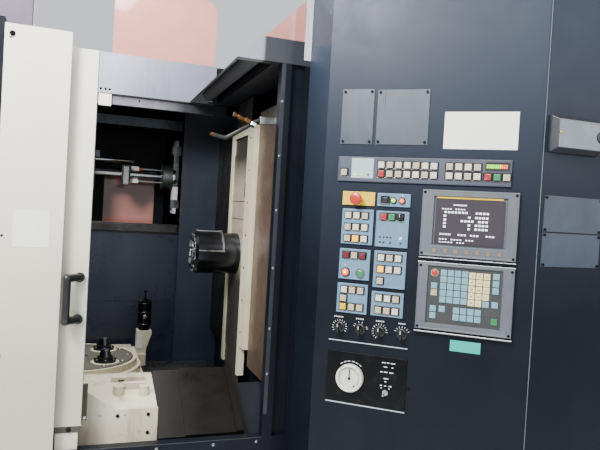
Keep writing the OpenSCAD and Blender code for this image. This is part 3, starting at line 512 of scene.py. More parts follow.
key_white = plastic("key_white", (206, 203, 188), 0.35, 1200, 0.2, (168, 152, 118), 0.8)
key_tan = plastic("key_tan", (178, 166, 140), 0.38, 1200, 0.2, (140, 118, 88), 0.8)
key_red = plastic("key_red", (150, 34, 40), 0.3, 1200, 0.3, (198, 150, 150), 0.5)
key_dim = plastic("key_dim_red", (92, 26, 30), 0.3, 1200, 0.3, (150, 110, 112), 0.5)
key_green = plastic("key_green", (36, 120, 72), 0.3, 1200, 0.3)
key_lit = lamp("key_lit_amber", (255, 176, 20), 0.9)
panel_blue = paint("panel_blue", (92, 124, 148), (112, 144, 166), (58, 72, 84), (0.36, 0.5), 14, 0.6, 0.25)
bar_paint = paint("bar_enamel", (58, 64, 78), (76, 84, 98), (30, 32, 38), (0.34, 0.48), 9, 0.5, 0.3)
pale_plate = paint("pale_plate", (156, 172, 176), (176, 188, 190), (110, 118, 120), (0.3, 0.42), 14, 0.5, 0.2)
stop_yellow = paint("stop_yellow", (214, 176, 30), (226, 190, 60), (150, 112, 40), (0.3, 0.45), 20, 0.6, 0.35)
mark_white = plastic("white_marks", (208, 210, 208), 0.5)
led_on = lamp("led_lit", (206, 236, 70), 1.6)
lamp_green = lamp("lamp_green", (150, 230, 20), 1.1)
lamp_orange = lamp("lamp_orange", (255, 104, 48), 1.3)
lamp_red = lamp("lamp_red", (255, 70, 30), 1.2)
lamp_yellow = lamp("lamp_yellow", (255, 206, 60), 1.6)
chrome = sheet_metal("bright_ring", (198, 200, 204), (120, 120, 122), (0.1, 0.25), (40, 40, 40), 0.3)
pit = plastic("dark_hole", (12, 12, 13), 0.6, 900)

# small key panels: outline, then rows of (height, places across, kinds)
W, T, R, D, G, L, Y = key_white, key_tan, key_red, key_dim, key_green, key_lit, stop_yellow
LEFT_KEYS, RIGHT_KEYS = (96, 124, 153), (215, 243, 271)
small_panels = {
    "mode_panel": ((74, 181, 1455, 1572), ((1551, LEFT_KEYS, (W, W, T)), (1512, LEFT_KEYS, (T, W, W)),
                                           (1474, LEFT_KEYS, (T, L, W)))),
    "start_panel": ((73, 178, 1337, 1439), ((1418, (96, 124, 152), (D, T, D)),)),
    "feed_panel": ((72, 176, 1224, 1323), ((1302, (96, 124, 152), (W, T, T)), (1273, (95,), (T,)),
                                           (1245, (95, 124, 152), (Y, T, T)))),
    "power_panel": ((190, 298, 1453, 1571), ((1552, (215, 242), (R, G)),)),
    "option_panel": ((191, 297, 1319, 1440), ((1418, RIGHT_KEYS, (W, T, W)), (1380, RIGHT_KEYS, (L, W, W)),
                                              (1341, (215,), (T,)))),
    "move_panel": ((190, 296, 1225, 1306), ((1285, RIGHT_KEYS, (W, W, T)), (1245, RIGHT_KEYS, (T, T, W)))),
}
caps, plates, surrounds = {}, [], []
cap = key_cap(20, 6.5, 13)


def add_key(kind, u, z, back=0):
    caps.setdefault(kind.name, (kind, []))[1].append(again(cap, (u, -back, z)))


def add_surround(u0, u1, z, half, high):
    """A sunk black frame round keys."""
    surrounds.append(inset(face_box(u0, u1, z - half, z + half, 0, high, 0.8), 2, -1.5))


for panel, (outline, rows) in small_panels.items():
    plates.append(inset(face_box(*outline, 0, 6, 1.2), 2.4, -0.5))
    for height, places, kinds in rows:
        right = 269 if panel == "power_panel" else places[-1]
        add_surround(places[0] - 14, right + 14, height, 13.5, 8.5)
        for u, kind in zip(places, kinds):
            add_key(kind, u, height)

# the long key bar
BAR_STEP = 28.3
bar = inset(face_box(51, 602, 1664, 1746, 0, 8, 1.2), 2.5, -0.8)
for height, left, right in ((1721, (W, T, W, W, T, W, W), (T, W, W, T)),
                            (1692, (R, T, T, W, W, T, W), (W, W, T, W))):
    add_surround(184, 184 + 7 * BAR_STEP, height, 13.5, 10)
    add_surround(402, 402 + 4 * BAR_STEP, height, 13.5, 10)
    for start, row in ((198, left), (416, right)):
        for i, kind in enumerate(row):
            add_key(kind, start + i * BAR_STEP, height, 2)
for u, z, kind in ((73, 1693, T), (532, 1692, R), (560, 1692, G), (588, 1692, T)):
    add_surround(u - 14, u + 14, z, 14, 10)
    add_key(kind, u, z, 2)
bpy.data.objects.remove(cap)
plates.append(inset(face_box(190, 299, 1586, 1629, 0, 6, 1.2), 2, -0.5))
fit(plates, "small_key_panels", panel_blue, stands_for=["key_panels"])
fit(surrounds, "key_surrounds", black)
fit(bar, "key_bar", bar_paint)
for name, (kind, group) in caps.items():
    fit(group, "keys_" + name, kind)

LED = [(3.2, 8.5), (3.2, 10.2), (2, 11.2)]
fit(face_box(97, 172, 1675, 1741, 6, 9, 0.8), "bar_lamp_plate", pale_plate)
fit([face_disc(u, 1687, LED, 16) for u in (111, 133)], "bar_leds", led_on)
fit(face_disc(155, 1687, LED, 16), "bar_led_off", pit)
fit([face_box(106 + 22 * i, 117 + 22 * i, 1696, 1698, 8.8, 9.2) for i in range(3)], "bar_led_ticks",
    mark_white)
fit(inset(face_box(524, 596, 1712, 1738, 6, 9.4, 0.6), 2, -1), "load_window", pit)
for name, start, count, material in (("green", 528, 7, lamp_green), ("orange", 571.4, 3, lamp_orange)):
    bars = [face_box(u, u + 4.6, 1719, 1731, 8, 9.6, 0.2) for u in [start + i * 6.2 for i in range(count)]]
    fit(bars, "load_bar_" + name, material)

# emergency stop, its plate and collar
fit(face_box(72, 182, 1585, 1630, 0, 6, 1), "stop_plate", stop_yellow)
collar = [(17, 6), (17, 8.4), (16, 9.4), (13.4, 9.4), (13.4, 7)]
fit(face_disc(123, 1606, collar, 40), "stop_collar", stop_yellow)
mushroom = [(12, 16.5), (12, 24), (18, 25), (20, 28), (20, 33), (18.6, 36), (14, 38), (6, 38.4)]
fit(face_disc(123, 1606, mushroom, 48), "stop_mushroom", red, "stop_button", ["estop_button"])

# lamps and switches
switch = inset(face_box(201, 232, 1592, 1620, 5, 9, 1), 4, -2.5)
fit([switch, face_box(207, 226, 1597, 1615, 6, 12, 1.5)], "power_rocker", black)
LENSES = (("green", 244, 1606, 7.5, lamp_green), ("orange", 272, 1606, 8, lamp_orange),
    ("red", 97, 1360, 12, lamp_red))
fit([face_disc(u, z, [(r + 3.4, 5.5), (r + 3.4, 9), (r + 2, 11), (r, 11), (r, 8)]) for name, u, z, r,
     glow in LENSES],
    "lamp_rings", black)
for name, u, z, r, glow in LENSES:
    r -= 0.1
    fit(face_disc(u, z, [(r, 8), (r, 11.5), (r * 0.86, 14), (r * 0.55, 15.6), (r * 0.2, 16)]),
        "lens_" + name, glow)
fit(face_disc(97, 1360, [(6, 15.4), (5, 16.4), (2, 16.8)], 24), "lens_red_centre", lamp_yellow)
fit(face_disc(147, 1360, [(16, 5.5), (16, 10), (14.6, 12.5), (12.6, 12.5), (12.2, 9)], 40), "start_ring",
    chrome)
fit(face_disc(147, 1360, [(12, 8), (12, 11.5), (11, 12.4), (4, 12.8)]), "start_button_cap", key_green)
fit([face_disc(269, 1553, [(11, 7), (11, 12), (9.5, 13.5)], 28),
     face_box(265.5, 272.5, 1543, 1563, 8, 20, 1.5)],
    "key_selector", black)
fit(face_box(268.2, 269.8, 1553, 1562.5, 19.8, 20.4), "selector_mark", mark_white)
DARK_LAMPS = [(u, 1485) for u in (207, 219, 230, 241)] + [(u, 1468) for u in (207, 219, 241, 275)]
fit([face_disc(u, z, [(3.2, 5.4), (3.2, 6.6), (2.2, 7.2)], 14) for u, z in DARK_LAMPS], "dark_lamps", pit)
PALE_LAMPS = ((274, 1483, 5), (273, 1623, 3.5), (207, 1494, 2), (205, 1460, 2), (95, 1384, 3))
fit([face_disc(u, z, [(r, 5.4), (r, 6.8), (r * 0.6, 7.6)], 16) for u, z, r in PALE_LAMPS], "pale_lamps",
    mark_white)

# screen unit
unit_grey = paint("unit_grey", (82, 87, 92), (104, 110, 114), (52, 54, 56), (0.36, 0.5), 9, 0.6, 0.35)
screen_glass = plastic("screen_glass", (52, 46, 52), 0.12, 300, 0.6, (66, 60, 64), 0.4)
screen_mark = lamp("screen_marks", (226, 232, 240), 1.1)
field_dark = plastic("key_field", (50, 52, 52), 0.42, 900, 0, (70, 70, 64), 0.5)
key_teal = plastic("key_teal", (108, 148, 160), 0.4, 1200, 0.1, (138, 168, 168), 0.6)
key_cream = plastic("key_cream", (224, 204, 150), 0.4, 1200, 0.1, (238, 226, 186), 0.6)
soft_key = plastic("soft_key", (112, 100, 80), 0.5, 1200, 0, (150, 138, 112), 0.8)
UNIT_MIDDLE = 0.484


def unit_case(low_z, opening):
    """A framed unit: a raised border, and a sunk well at the place of the opening."""
    case = inset(inset(face_box(338, 630, low_z, low_z + 211, 0, 14), 3.5, 2), 2, -1.2)
    pick(case, lambda middle, normal: normal.y < -0.9 and abs(middle.x - UNIT_MIDDLE) < 0.02)
    bpy.ops.mesh.inset(thickness=30 * MM, depth=0)
    leave()
    u0, u1, z0, z1, deep = opening
    for v in case.data.vertices:
        if 0.365 < v.co.x < 0.605:
            v.co.x = (u0 if v.co.x < UNIT_MIDDLE else u1) * MM
            v.co.z = (z0 if v.co.z < (low_z + 105) * MM else z1) * MM
    u, z = (u0 + u1) / 2, (z0 + z1) / 2
    pick(case, lambda middle, normal: normal.y < -0.9 and abs(middle.x - u * MM) < 0.001
        and abs(middle.z - z * MM) < 0.001)
    draw_out(deep, (0.985, 1, 0.98), (u, 0, z))
    return soften(case, 0.9, 2, 30)


fit(unit_case(1436, (375, 597, 1470, 1628, 9)), "screen_unit_case", unit_grey, stands_for=["crt_unit"])
tubeface = face_box(381, 591, 1474, 1619, 3, 7)
pick(tubeface, facing(FRONT))
bpy.ops.mesh.subdivide(number_cuts=9)
leave()
for v in tubeface.data.vertices:
    if v.co.y < -0.0065:
        across, up = (v.co.x - 0.486) / 0.105, (v.co.z - 1.5465) / 0.0725
        v.co.y -= 0.0028 * max(0, 1 - 0.5 * across * across - 0.5 * up * up)
fit(smoothed(tubeface, 40), "screen_glass", screen_glass)
fit(face_box(384, 584, 1620.5, 1626.5, 4, 10, 0.6), "screen_strip", stop_yellow)

# lines of plain blocks: from, to, height, block height and width, gap, and the blocks that are skipped
marks = []
for u, end, z, height, width, gap, skip in (
        (436, 476, 1601, 3.2, 40, 1, ()),
        (401, 477, 1588, 3.4, 5, 3.2, (4,)),
        (409, 548, 1578, 6, 7, 3.6, (7, 8)),
        *((407, 416, z, 6, 8, 4, ()) for z in (1566, 1554, 1543, 1532)),
        (482, 548, 1564, 6, 7, 3.6, (1,)),
        (460, 548, 1552, 6, 7, 3.6, (4,)),
        (482, 548, 1540, 6, 7, 3.6, (1,)),
        (482, 548, 1528, 6, 7, 3.6, (1,)),
        (397, 568, 1508, 5, 6, 3.4, (4, 5, 9, 13, 14)),
        (397, 503, 1492, 4, 5, 4, (3, 8)),
        (397, 480, 1483, 3.4, 5, 4, (5,))):
    n = 0
    while u + width <= end + 0.01:
        if n not in skip:
            marks.append(face_box(u, u + width, z - height / 2, z + height / 2, 9.6, 10.4))
        u, n = u + width + gap, n + 1
fit(marks, "screen_lines", screen_mark)
fit(copies(key_cap(13, 11, 16), [((385 + i * 32.7, 0, 1455),) for i in range(7)]), "soft_keys", soft_key)

# key unit
fit(unit_case(1202, (369, 597, 1222, 1406, 7)), "key_unit_case", unit_grey, stands_for=["mdi_unit"])
fit(face_box(371, 595, 1224, 1404, 6, 8.2, 0.5), "key_unit_field", field_dark)
teal_keys = [(419 + 21.7 * i, 1386 - 21.3 * j) for i in range(4) for j in range(5)]
teal_keys += [(550, 1298), *((577, z) for z in (1386, 1364, 1342, 1299)),
              *((391, z) for z in (1343, 1270, 1248)),
    (419, 1271)]
teal_keys += [(463 + 21.8 * i, z) for i in range(4) for z in (1270, 1248.5)]
cream_keys = [(506 + 21.7 * i, 1384 - 21.4 * j) for i in range(3) for j in range(5)
              if not (i == 2 and j == 4)]
for name, places, material in (("teal_keys", teal_keys, key_teal), ("cream_keys", cream_keys, key_cream),
                               ("tan_key", [(391, 1321)], key_tan), ("green_key", [(578, 1247)], key_green)):
    fit(copies(key_cap(19, 7, 11.5), [((u, 0, z),) for u, z in places]), name, material)
fit([face_box(u - 3.6, u + 3.6, z - 1.2, z + 1.2, 11.6, 12) for u, z in cream_keys], "cream_key_marks",
    field_dark)
fit(face_disc(390, 1384, [(9.5, 7), (9.5, 11), (7.5, 13), (3, 14)]), "reset_button", red)
fit(face_disc(390, 1384, [(12, 7), (12, 9), (9.8, 9), (9.8, 7.5)]), "reset_ring", key_tan)
unit_screw = [(4.2, 12), (4.2, 16.4), (3.4, 17.2), (2, 17.2), (2, 15.2)]
fit(screws([(u, 0, z) for z in (1638, 1444, 1405, 1210) for u in (346, 622)], FRONT, unit_screw, 16),
    "unit_screws",
    black_steel)
fit([face_box(336, 632, 1193, 1197, 0, 18, 0.8), face_box(336, 632, 1414, 1418, 0, 16, 0.8),
     face_box(337, 631, 1429, 1432, 0, 16, 0.8)], "unit_ledges", chrome)

# knobs: a skirt, a fluted grip, a pointer bar, and printed ticks round them
KNOBS = (("a", "knob_1", 86, range(-120, 121, 20)), ("b", "knob_2", 157, (-66, -48, -14, 14, 66, 80)),
         ("c", "knob_3", 223, range(-150, 91, 20)), ("d", "knob_4", 296, range(-66, 67, 22)))
KNOB_Z = 1173
KNOB_STEPS = [(17.6, 0.4), (17.6, 2.4), (16.4, 3.4), (12.4, 4.2), (12, 20), (11, 21.8)]
ticks = []
for letter, node, u, angles in KNOBS:
    grip = face_disc(u, KNOB_Z, KNOB_STEPS, 48)
    for v in grip.data.vertices:
        side, up = v.co.x - u * MM, v.co.z - KNOB_Z * MM
        if -0.0215 < v.co.y < -0.0038 and math.hypot(side, up) > 0.01:
            share = 1 - 0.055 * (1 + math.cos(12 * math.atan2(side, up))) / 2
            v.co.x, v.co.z = u * MM + side * share, KNOB_Z * MM + up * share
    bar = face_box(u - 4.4, u + 4.4, KNOB_Z - 16, KNOB_Z + 16, 3.6, 26)
    pick(bar, facing(FRONT))
    draw_out(-3.5, (0.6, 1, 0.86), (u, 0, KNOB_Z))
    fit([grip, soften(bar, 1.1, 2, 25)], "knob_%s_grip" % letter, black, "knob_" + letter, [node])
    pointer = face_box(u - 1.3, u + 1.3, KNOB_Z + 4, KNOB_Z + 13.5, 28.8, 29.9, 0.3)
    fit(pointer, "knob_%s_pointer" % letter, mark_white, "knob_" + letter)
    ticks.append(copies(face_box(-0.7, 0.7, 20.5, 26.5, 0, 0.7), [((u, 0, KNOB_Z), spin(a)) for a in angles]))
for u0, u1, dashes in ((66, 99, 6), (141, 170, 4), (209, 238, 5), (284, 308, 4)):
    step = (u1 - u0) / dashes
    ticks += [face_box(u, u + step * 0.62, 1205.4, 1209.4, 0, 0.7)
              for u in [u0 + i * step for i in range(dashes)]]
fit(ticks, "knob_ticks", mark_white)
fit([face_box(51, 318, 1126.5, 1129.5, 0, 4, 0.8), face_box(51, 320, 918, 921.5, 0, 4, 0.8)],
    "panel_edge_lines",
    pale_plate)

# black panel with the gauge and the toggle switch
gauge_cream = plastic("gauge_cream", (208, 208, 194), 0.35, 1200, 0.2, (226, 226, 214), 0.5)
gauge_grey = plastic("gauge_grey", (112, 112, 104), 0.5)
gloss_black = mirroring(plastic("gloss_black", (10, 11, 13), 0.2, 900), 0.12)
fit(face_box(51, 320, 925, 1093, 0, 3, 0.8), "gauge_back_panel", gloss_black, stands_for=["gauge_panel"])
fit(face_disc(254, 976, [(11, 3), (11, 7), (9.6, 8.4), (6.4, 8.4), (6.4, 11), (5, 11)], 6), "toggle_nut",
    chrome)
GAUGE = (134, 0, 1009)
gauge = [(45.6, 3), (45.6, 21), (44.6, 23.6), (42.6, 25), (39.6, 25), (38, 23.8), (36.4, 18.2)]
fit(disc(GAUGE, FRONT, gauge, 72), "gauge_case", gauge_cream)
dial = [copies(part, [(GAUGE, spin(a)) for a in angles])
        for part, angles in ((face_box(-0.5, 0.5, 27, 32.5, 18.2, 18.9), range(-130, 131, 26)),
                             (face_box(-0.35, 0.35, 29.5, 32.5, 18.2, 18.9), range(-117, 131, 26)),
                             (face_box(-3.4, 3.4, 33.2, 34.6, 18.2, 18.8), range(-126, 127, 12)))]
fit(dial, "gauge_ticks", gauge_grey)
fit(face_disc(151, 985, [(3.4, 18.2), (3.4, 19.6), (2.2, 20.4)], 16), "gauge_stop_pin", pit)
arc = face_box(-4.4, 4.4, 53, 55.4, 3, 3.7)
fit(copies(arc, [(GAUGE, spin(a)) for a in (-36, -22, -8, 8, 22, 36)]), "gauge_marks", mark_white)
bat = [(1.9, 12.2), (2, 15), (2.2, 18.5), (2.8, 30), (3.8, 38), (3.9, 40.5), (2.6, 42.2)]
fit(face_disc(254, 976, bat, 24), "toggle_bat", chrome, "toggle", ["toggle_lever"])
STROKES = ((1074, ((238, 250), (254, 262), (267, 281))), (1060, ((244, 256), (270, 276))),
           (1043, ((234, 242), (246, 258), (264, 277))), (1022, ((246, 262),)), (1012, ((250, 256),)),
           (998, ((236, 242), (250, 256), (264, 274))), (990, ((238, 242), (264, 268))))
fit([face_box(u0, u1, z - 1.5, z + 1.5, 3, 3.6) for z, spans in STROKES for u0, u1 in spans], "toggle_marks",
    mark_white)

# bolted cover plates, the bare notice plate and the bare teal plate
cover_paint = paint("cover_plate_enamel", (48, 57, 70), (78, 88, 102), (28, 32, 38), (0.32, 0.46), 5, 0.6,
                    0.25)
notice_white = plastic("notice_white", (240, 239, 230), 0.4, 1200, 0, (226, 222, 206), 0.5)
teal = plastic("teal_plate", (22, 168, 150), 0.35, 1200, 0.2, (60, 182, 170), 0.5)
HEX_BOLT = [(4.4, 0), (4.4, 4.2), (3.6, 5), (2.2, 5), (2.2, 3.4)]
gaps, covers, spots = [], [], []
for u0, u1, z0, z1 in ((51, 160, 1788, 1971), (171, 341, 1788, 1968)):
    gaps.append(face_box(u0 - 1.4, u1 + 1.4, z0 - 1.4, z1 + 1.4, 0, 0.5))
    covers.append(face_box(u0, u1, z0, z1, 0, 3, 0.8))
    spots += [(u, -3, z) for u in (u0 + 9, u1 - 9) for z in (z0 + 9, z1 - 9)]
fit(gaps, "cover_gaps", pit)
fit(covers, "bolted_covers", cover_paint, stands_for=["console_plates"])
fit(screws(spots, FRONT, HEX_BOLT, 12), "cover_bolts", black_steel)
fit(face_box(391, 614, 1778, 1895, 0, 1, 0.3), "bare_notice_plate", notice_white)
fit(face_box(450, 543, 1140, 1175, 0, 1, 0.3), "bare_teal_plate", teal)
fit([face_box(196, 197.2, 1900, 1966, 3, 3.4), face_box(303, 304.2, 1972, 2030, 0, 0.4)], "panel_scores", pit)
fit(face_disc(329, 1000, HEX_BOLT, 12), "panel_side_screw", black_steel)

# cabinet
gaps, covers, spots = [], [], []
for z0, z1 in ((1428, 1531), (1535, 1645)):
    gaps.append(slab(1004.5, 1232.5, CAB - 0.6, CAB, z0 - 1.5, z1 + 1.5))
    covers.append(slab(1006, 1231, CAB - 3, CAB, z0, z1, 0.7))
    spots += [(x, CAB - 3, z) for x in (1012, 1225) for z in (z0 + 6, z1 - 6)]
finish(gaps, "cabinet_cover_gaps", pit, "cabinet")
finish(covers, "cabinet_covers", cover_paint, "cabinet")
cover_bolt = [(4.2, 0), (4.2, 4), (3.4, 4.8), (2, 4.8), (2, 3.4)]
finish(screws(spots, FRONT, cover_bolt, 12), "cabinet_cover_bolts", black_steel, "cabinet")
# the cabinet's fold edge in lighter blue-grey: a painted highlight where the edge catches the light
painted_edge_highlight = paint("painted_edge_highlight_enamel", (104, 112, 120), (76, 84, 92), (34, 38, 44), (0.3, 0.45), 5, 0.6, 0.5, 0.2)
finish(slab(989.5, 992.5, CAB - 1.2, CAB + 2, 170, 2395, 0.8), "cabinet_fold_edge", painted_edge_highlight)

# isolator box with a sloped dark rim, a grey lid, a pilot light and a turning handle
(x0, _, z0), (x1, _, z1) = [[c / MM for c in corner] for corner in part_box("junction_box")]
rim_plastic = plastic("isolator_rim", (38, 41, 46), 0.42, 900)
lid_plastic = plastic("isolator_grey", (118, 124, 129), 0.4, 1000, 0, (140, 146, 150), 0.6)
rim = slab(x0, x1, CAB - 10, CAB, z0, z1)
pick(rim, facing(FRONT))
draw_out(-24, (0.88, 1, 0.76), ((x0 + x1) / 2, 0, (z0 + z1) / 2))
finish(soften(rim, 3, 3, 20), "isolator_rim", rim_plastic, "cabinet", stands_for=["junction_box"])
lid = slab(x0 + 12, x1 - 12, CAB - 36.5, CAB - 32, z0 + 14, z1 - 14, 1.2)
finish(inset(lid, 2, -0.6), "isolator_lid", lid_plastic, "cabinet")
finish(disc((x0 + 13.5, CAB - 36, 1834), FRONT, [(4.2, 0), (4.2, 2), (3, 3.4)], 16), "isolator_pilot", brass,
    "cabinet")
ring = [(18.5, 0), (18.5, 2), (17.2, 3), (15, 3), (14.6, 1.5)]
finish(disc((1176, CAB - 36, 1831), FRONT, ring, 40), "isolator_ring", black, "cabinet")
finish(slab(1171.5, 1180.5, CAB - 42, CAB - 37, 1818, 1844, 1.6), "isolator_handle", black, "cabinet")

# cabinet latch
low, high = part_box("cabinet_latch")
x = (low[0] + high[0]) / 2 / MM
rose = disc((x, CAB - 0.4, 760), FRONT, [(19.5, 0), (19.5, 5), (17, 8.5), (10, 11.5)], 40)
lever = slab(x - 7.5, x + 7.5, CAB - 25, CAB - 11.8, 702, 774)
pick(lever, facing((0, 0, -1)))
bpy.ops.transform.resize(value=(0.7, 0.6, 1), center_override=(x * MM, (CAB - 20) * MM, 0.7))
leave()
finish([rose, soften(lever, 3, 3, 25)], "cabinet_latch_lever", chrome, "latch", stands_for=["cabinet_latch"])

# doors
door_white = plastic("bare_label", (232, 230, 220), 0.45, 1200, 0, (214, 210, 196), 0.5)
finish(slab(-512, -405, LEAF - 1, LEAF, 1392, 1508, 0.4), "bare_door_plate", door_white)
leaf_bolt = [(8.5, 0), (8.5, 1), (6.5, 1), (6.5, 6), (5.5, 7), (3.2, 7), (3.2, 4)]
finish(screws([(-538, LEAF, z) for z in (2052, 1050, 200)], FRONT, leaf_bolt, 20), "leaf_bolts", black_steel)

# door foot: white blocks, a bolt and the upright bar
white_block = paint("block_white", (196, 193, 178), (176, 170, 150), (120, 104, 80), (0.4, 0.6), 9, 0.6, 0.5)
blocks = [slab(x - 0.5, x + 72.5, -787.6, -765.5, 716.3, 775.2, 2) for x in (-362, -935)]
finish(blocks, "door_foot_blocks", white_block, "door")
foot_bolt = [(7.5, 0), (7.5, 5), (6, 6.5), (3.5, 6.5), (3.5, 3)]
finish(disc((-320, -789, 786), FRONT, foot_bolt, 16), "door_foot_bolt", black_steel, "door")
finish(disc((-272, -752.5, 812), FRONT, [(6.5, 0), (6.5, 4), (4, 4.8)], 6), "door_bar_nut", chrome)
finish(slab(-282.2, -279.8, -791.4, -790.5, 800, 2042, 0.4), "door_edge_line", dark_grey, "door")

# front edge: trim strips, screws and the scuffed white strip by the console
# worn white paint, and on the setter plate a painted reflection
scuffed_paint_and_highlight = paint("scuffed_white_and_highlight", (214, 214, 218), (176, 178, 186), (96, 96, 100), (0.3, 0.45), 30, 0.8, 0.7)
strip_blue = paint("jamb_strip", (22, 27, 34), (38, 44, 52), (14, 16, 20), (0.3, 0.45), 8, 0.6, 0.4)
finish(slab(430.5, 456.8, -797.5, -795, 2110, 2395, 0.8), "pane_side_strip", scuffed_paint_and_highlight)
finish(slab(348.8, 364, -796.2, -795, 800, 2088, 0.5), "jamb_strip", strip_blue)
spots = [(356.5, -796.2, z) for z in (1950, 1751, 1553, 1340, 1117, 950)]
finish(screws(spots, FRONT, [(4.8, 0), (4.8, 1.6), (3, 2.6)], 14), "jamb_screws", steel)
finish(slab(-268, 349, -796, -794.5, 713.5, 716.5, 0.5), "sill_edge_line", strip_blue)
spots = [(x, -795, 700) for x in (-220, -30, 170, 330)]
finish(screws(spots, FRONT, [(5.5, 0), (5.5, 1.8), (3.4, 3)], 14), "sill_screws", steel)

# roof and header
# the colour of the painted shadow under the ceiling on the right
PAINTED_SHADOW = (14, 15, 20)
header_strip = paint("header_strip", (112, 110, 120), (140, 138, 148), (44, 44, 50), (0.35, 0.5), 6, 0.5, 0.5)
# header strip darker towards the right: painted shadow
painted_light_along(header_strip, "X", 0.02, 0.16, PAINTED_SHADOW, 0.93)
wall_strip = paint("wall_strip", (96, 106, 120), (132, 142, 156), (30, 33, 40), (0.3, 0.5), 16, 0.7, 0.6)
# wall strip darker towards the right: painted shadow
painted_light_along(wall_strip, "X", 0.05, 0.19, PAINTED_SHADOW, 0.95)
scratched_trim = sheet_metal("scratched_trim", (88, 86, 86), (34, 32, 32), (0.25, 0.5), (3, 60, 60), 0.75)
mauve_grey = paint("mauve_grey", (86, 80, 92), (108, 104, 114), (40, 38, 44), (0.3, 0.5), 4, 0.6, 0.4)
finish(slab(-205.5, 380, 260.5, 262.2, 2035.5, 2082.8, 0.5), "header_lower_strip", header_strip)
finish(slab(-265.5, -205.8, 244.8, 262.5, 2022.8, 2081.5, 2, 3), "header_block", ivory)
finish(slab(-264, 380, 246.4, 248.2, 2082.2, 2086.2, 0.4), "header_edge_line", pit)
finish(disc((-72, 260.5, 2066), FRONT, [(5, 0), (5, 3), (3.5, 4)], 6), "header_strip_screw", black_steel)
finish([slab(x0, x1, 703, 705.2, 1993.5, 2044.5, 0.6) for x0, x1 in ((-860, -155.2), (-153.6, 220))],
       "wall_top_strip", wall_strip)
finish(slab(-896, 220.5, 753.5, 755.2, 970, 973.5, 0.4), "wall_seam", pit)
finish([slab(-699.5, 220.5, 732.8, 735.2, 1385, 1426, 1), slab(-699.5, 220.5, 731.8, 755.2, 1427, 1432.5, 1)],
       "ledge_trim", scratched_trim)
finish(slab(-650.5, -489.5, -748.5, -677.5, 1783.5, 2500.5, 3), "column_post", mauve_grey)
finish(slab(275, 300, 235, 247.5, 2098, 2122, 2), "header_bracket", chrome)

# coolant hose with brass fittings, held by its bracket
HOSE_Y = -700
HOSE_RISE = math.radians(68)
dull_brass = sheet_metal("dull_brass", (112, 80, 50), (62, 44, 32), (0.25, 0.45), (40, 40, 40), 0.5)
route = [(300, 1887), (285, 1880.5), (272, 1872.2), (255, 1860.8), (235, 1847.2), (215, 1833.8),
         (197, 1821.8),
         (183, 1813), (170, 1809), (155, 1811), (140, 1814.2), (130, 1816.3)]
hose = tube([(x, HOSE_Y, z) for x, z in route], 7.8, 20)
finish(hose, "coolant_hose", pit, stands_for=["coolant_nozzles"])
up_way = (-math.sin(HOSE_RISE), 0, math.cos(HOSE_RISE))
tip = disc((134, HOSE_Y, 1815.5), (-0.978, 0, 0.208), [(8.2, 0), (8.6, 2), (8.6, 9), (6.2, 11), (5.5, 18)],
           20)
hexes = disc((262, HOSE_Y, 1876), up_way, [(14.8, 0), (15, 2), (15, 18), (12, 20), (10, 26), (10, 33)], 6, 20)
jet = [(9.8, 0), (11, 4), (10.8, 14), (8, 20), (10.4, 26), (9.8, 34), (5, 36)]
finish([tip, hexes, disc((232, HOSE_Y, 1888), up_way, jet, 24)], "coolant_fittings", dull_brass)
finish(disc((285, HOSE_Y, 1866.5), up_way, [(11.2, 0), (11.8, 2), (11.8, 16), (10, 19)], 6, 20),
       "coolant_nut",
    chrome)
finish([slab(300, 353, -709.5, -690.5, 1874.5, 1901.5, 2),
        slab(353, 374.5, -754.5, -690.5, 1876.5, 1899.5, 2)],
       "coolant_bracket", steel)

# tool changer
MID_Y, MID_Z = 905, 1722
flange_green = paint("flange_green", (52, 66, 56), (80, 94, 82), (22, 26, 22), (0.25, 0.45), 12, 0.6, 0.4)
pale_bar = plastic("pale_bar", (214, 204, 208), 0.4, 900, 0, (176, 166, 168), 0.5)
ribs = [(75.5, 0)]
for i in range(9):
    ribs += [(r, h + 6.3 * i) for r, h in ((78.2, 1.5), (78.2, 4.5), (75.2, 5), (75.2, 7.3))]
finish(disc((131.5, MID_Y, MID_Z), RIGHT, ribs, 56), "changer_flange_ribs", flange_green, "changer")
clamp = slab(-106.8, -57.2, 849, 961, 1649.2, 1775, 3)
finish(inset(clamp, 8, -2), "changer_clamp", oily_black, "changer")
finish([slab(-54.5, -6, 893.5, 897.5, 1747, 1772, 0.8), slab(-56, -8, 893.5, 897.5, 1672, 1697, 0.8)],
       "changer_bare_plates", notice_white, "changer")
finish(slab(-3, 14, 893.5, 897.5, 1749, 1764, 1), "changer_red_tag", red, "changer")
rod = [(21.6, 0), (22.2, 2), (22.2, 663), (22.2, 714), (22.2, 901)]
finish(disc((-770, MID_Y, MID_Z), RIGHT, rod, 40), "changer_main_rod", chrome, "changer")
for y in (875, 935):
    finish(disc((-262.5, y, 1800), RIGHT, [(9.4, 0), (9.4, 225), (8, 227)], 24), "guide_bar_%d" % y, chrome)
finish(slab(-290, -235, 860, 950, 1808, 1850, 4), "guide_bar_block", grey_blue)
upper = slab(188.8, 239, 864, 946, 1860, 1913, 4)
finish(inset(upper, 10, -4), "arm_upper_block", cream, "changer_arm")
finish(slab(197, 231.8, 871.5, 938.5, 1548, 1664, 4), "arm_lower_bar", pale_bar, "changer_arm")
hub = [(54.5, 0), (56, 3), (56, 22), (50, 28), (30, 30)]
finish(disc((190, MID_Y, MID_Z), RIGHT, hub, 40), "arm_hub", chrome, "changer_arm")
grips = [slab(200.2, 224.6, y - 9.5, y + 9.5, z - 18.6, z + 18.6, 3)
         for z in (MID_Z - 207, MID_Z + 207) for y in (MID_Y - 31, MID_Y + 31)]
finish(grips, "arm_grippers", scuffed_paint_and_highlight, "changer_arm")

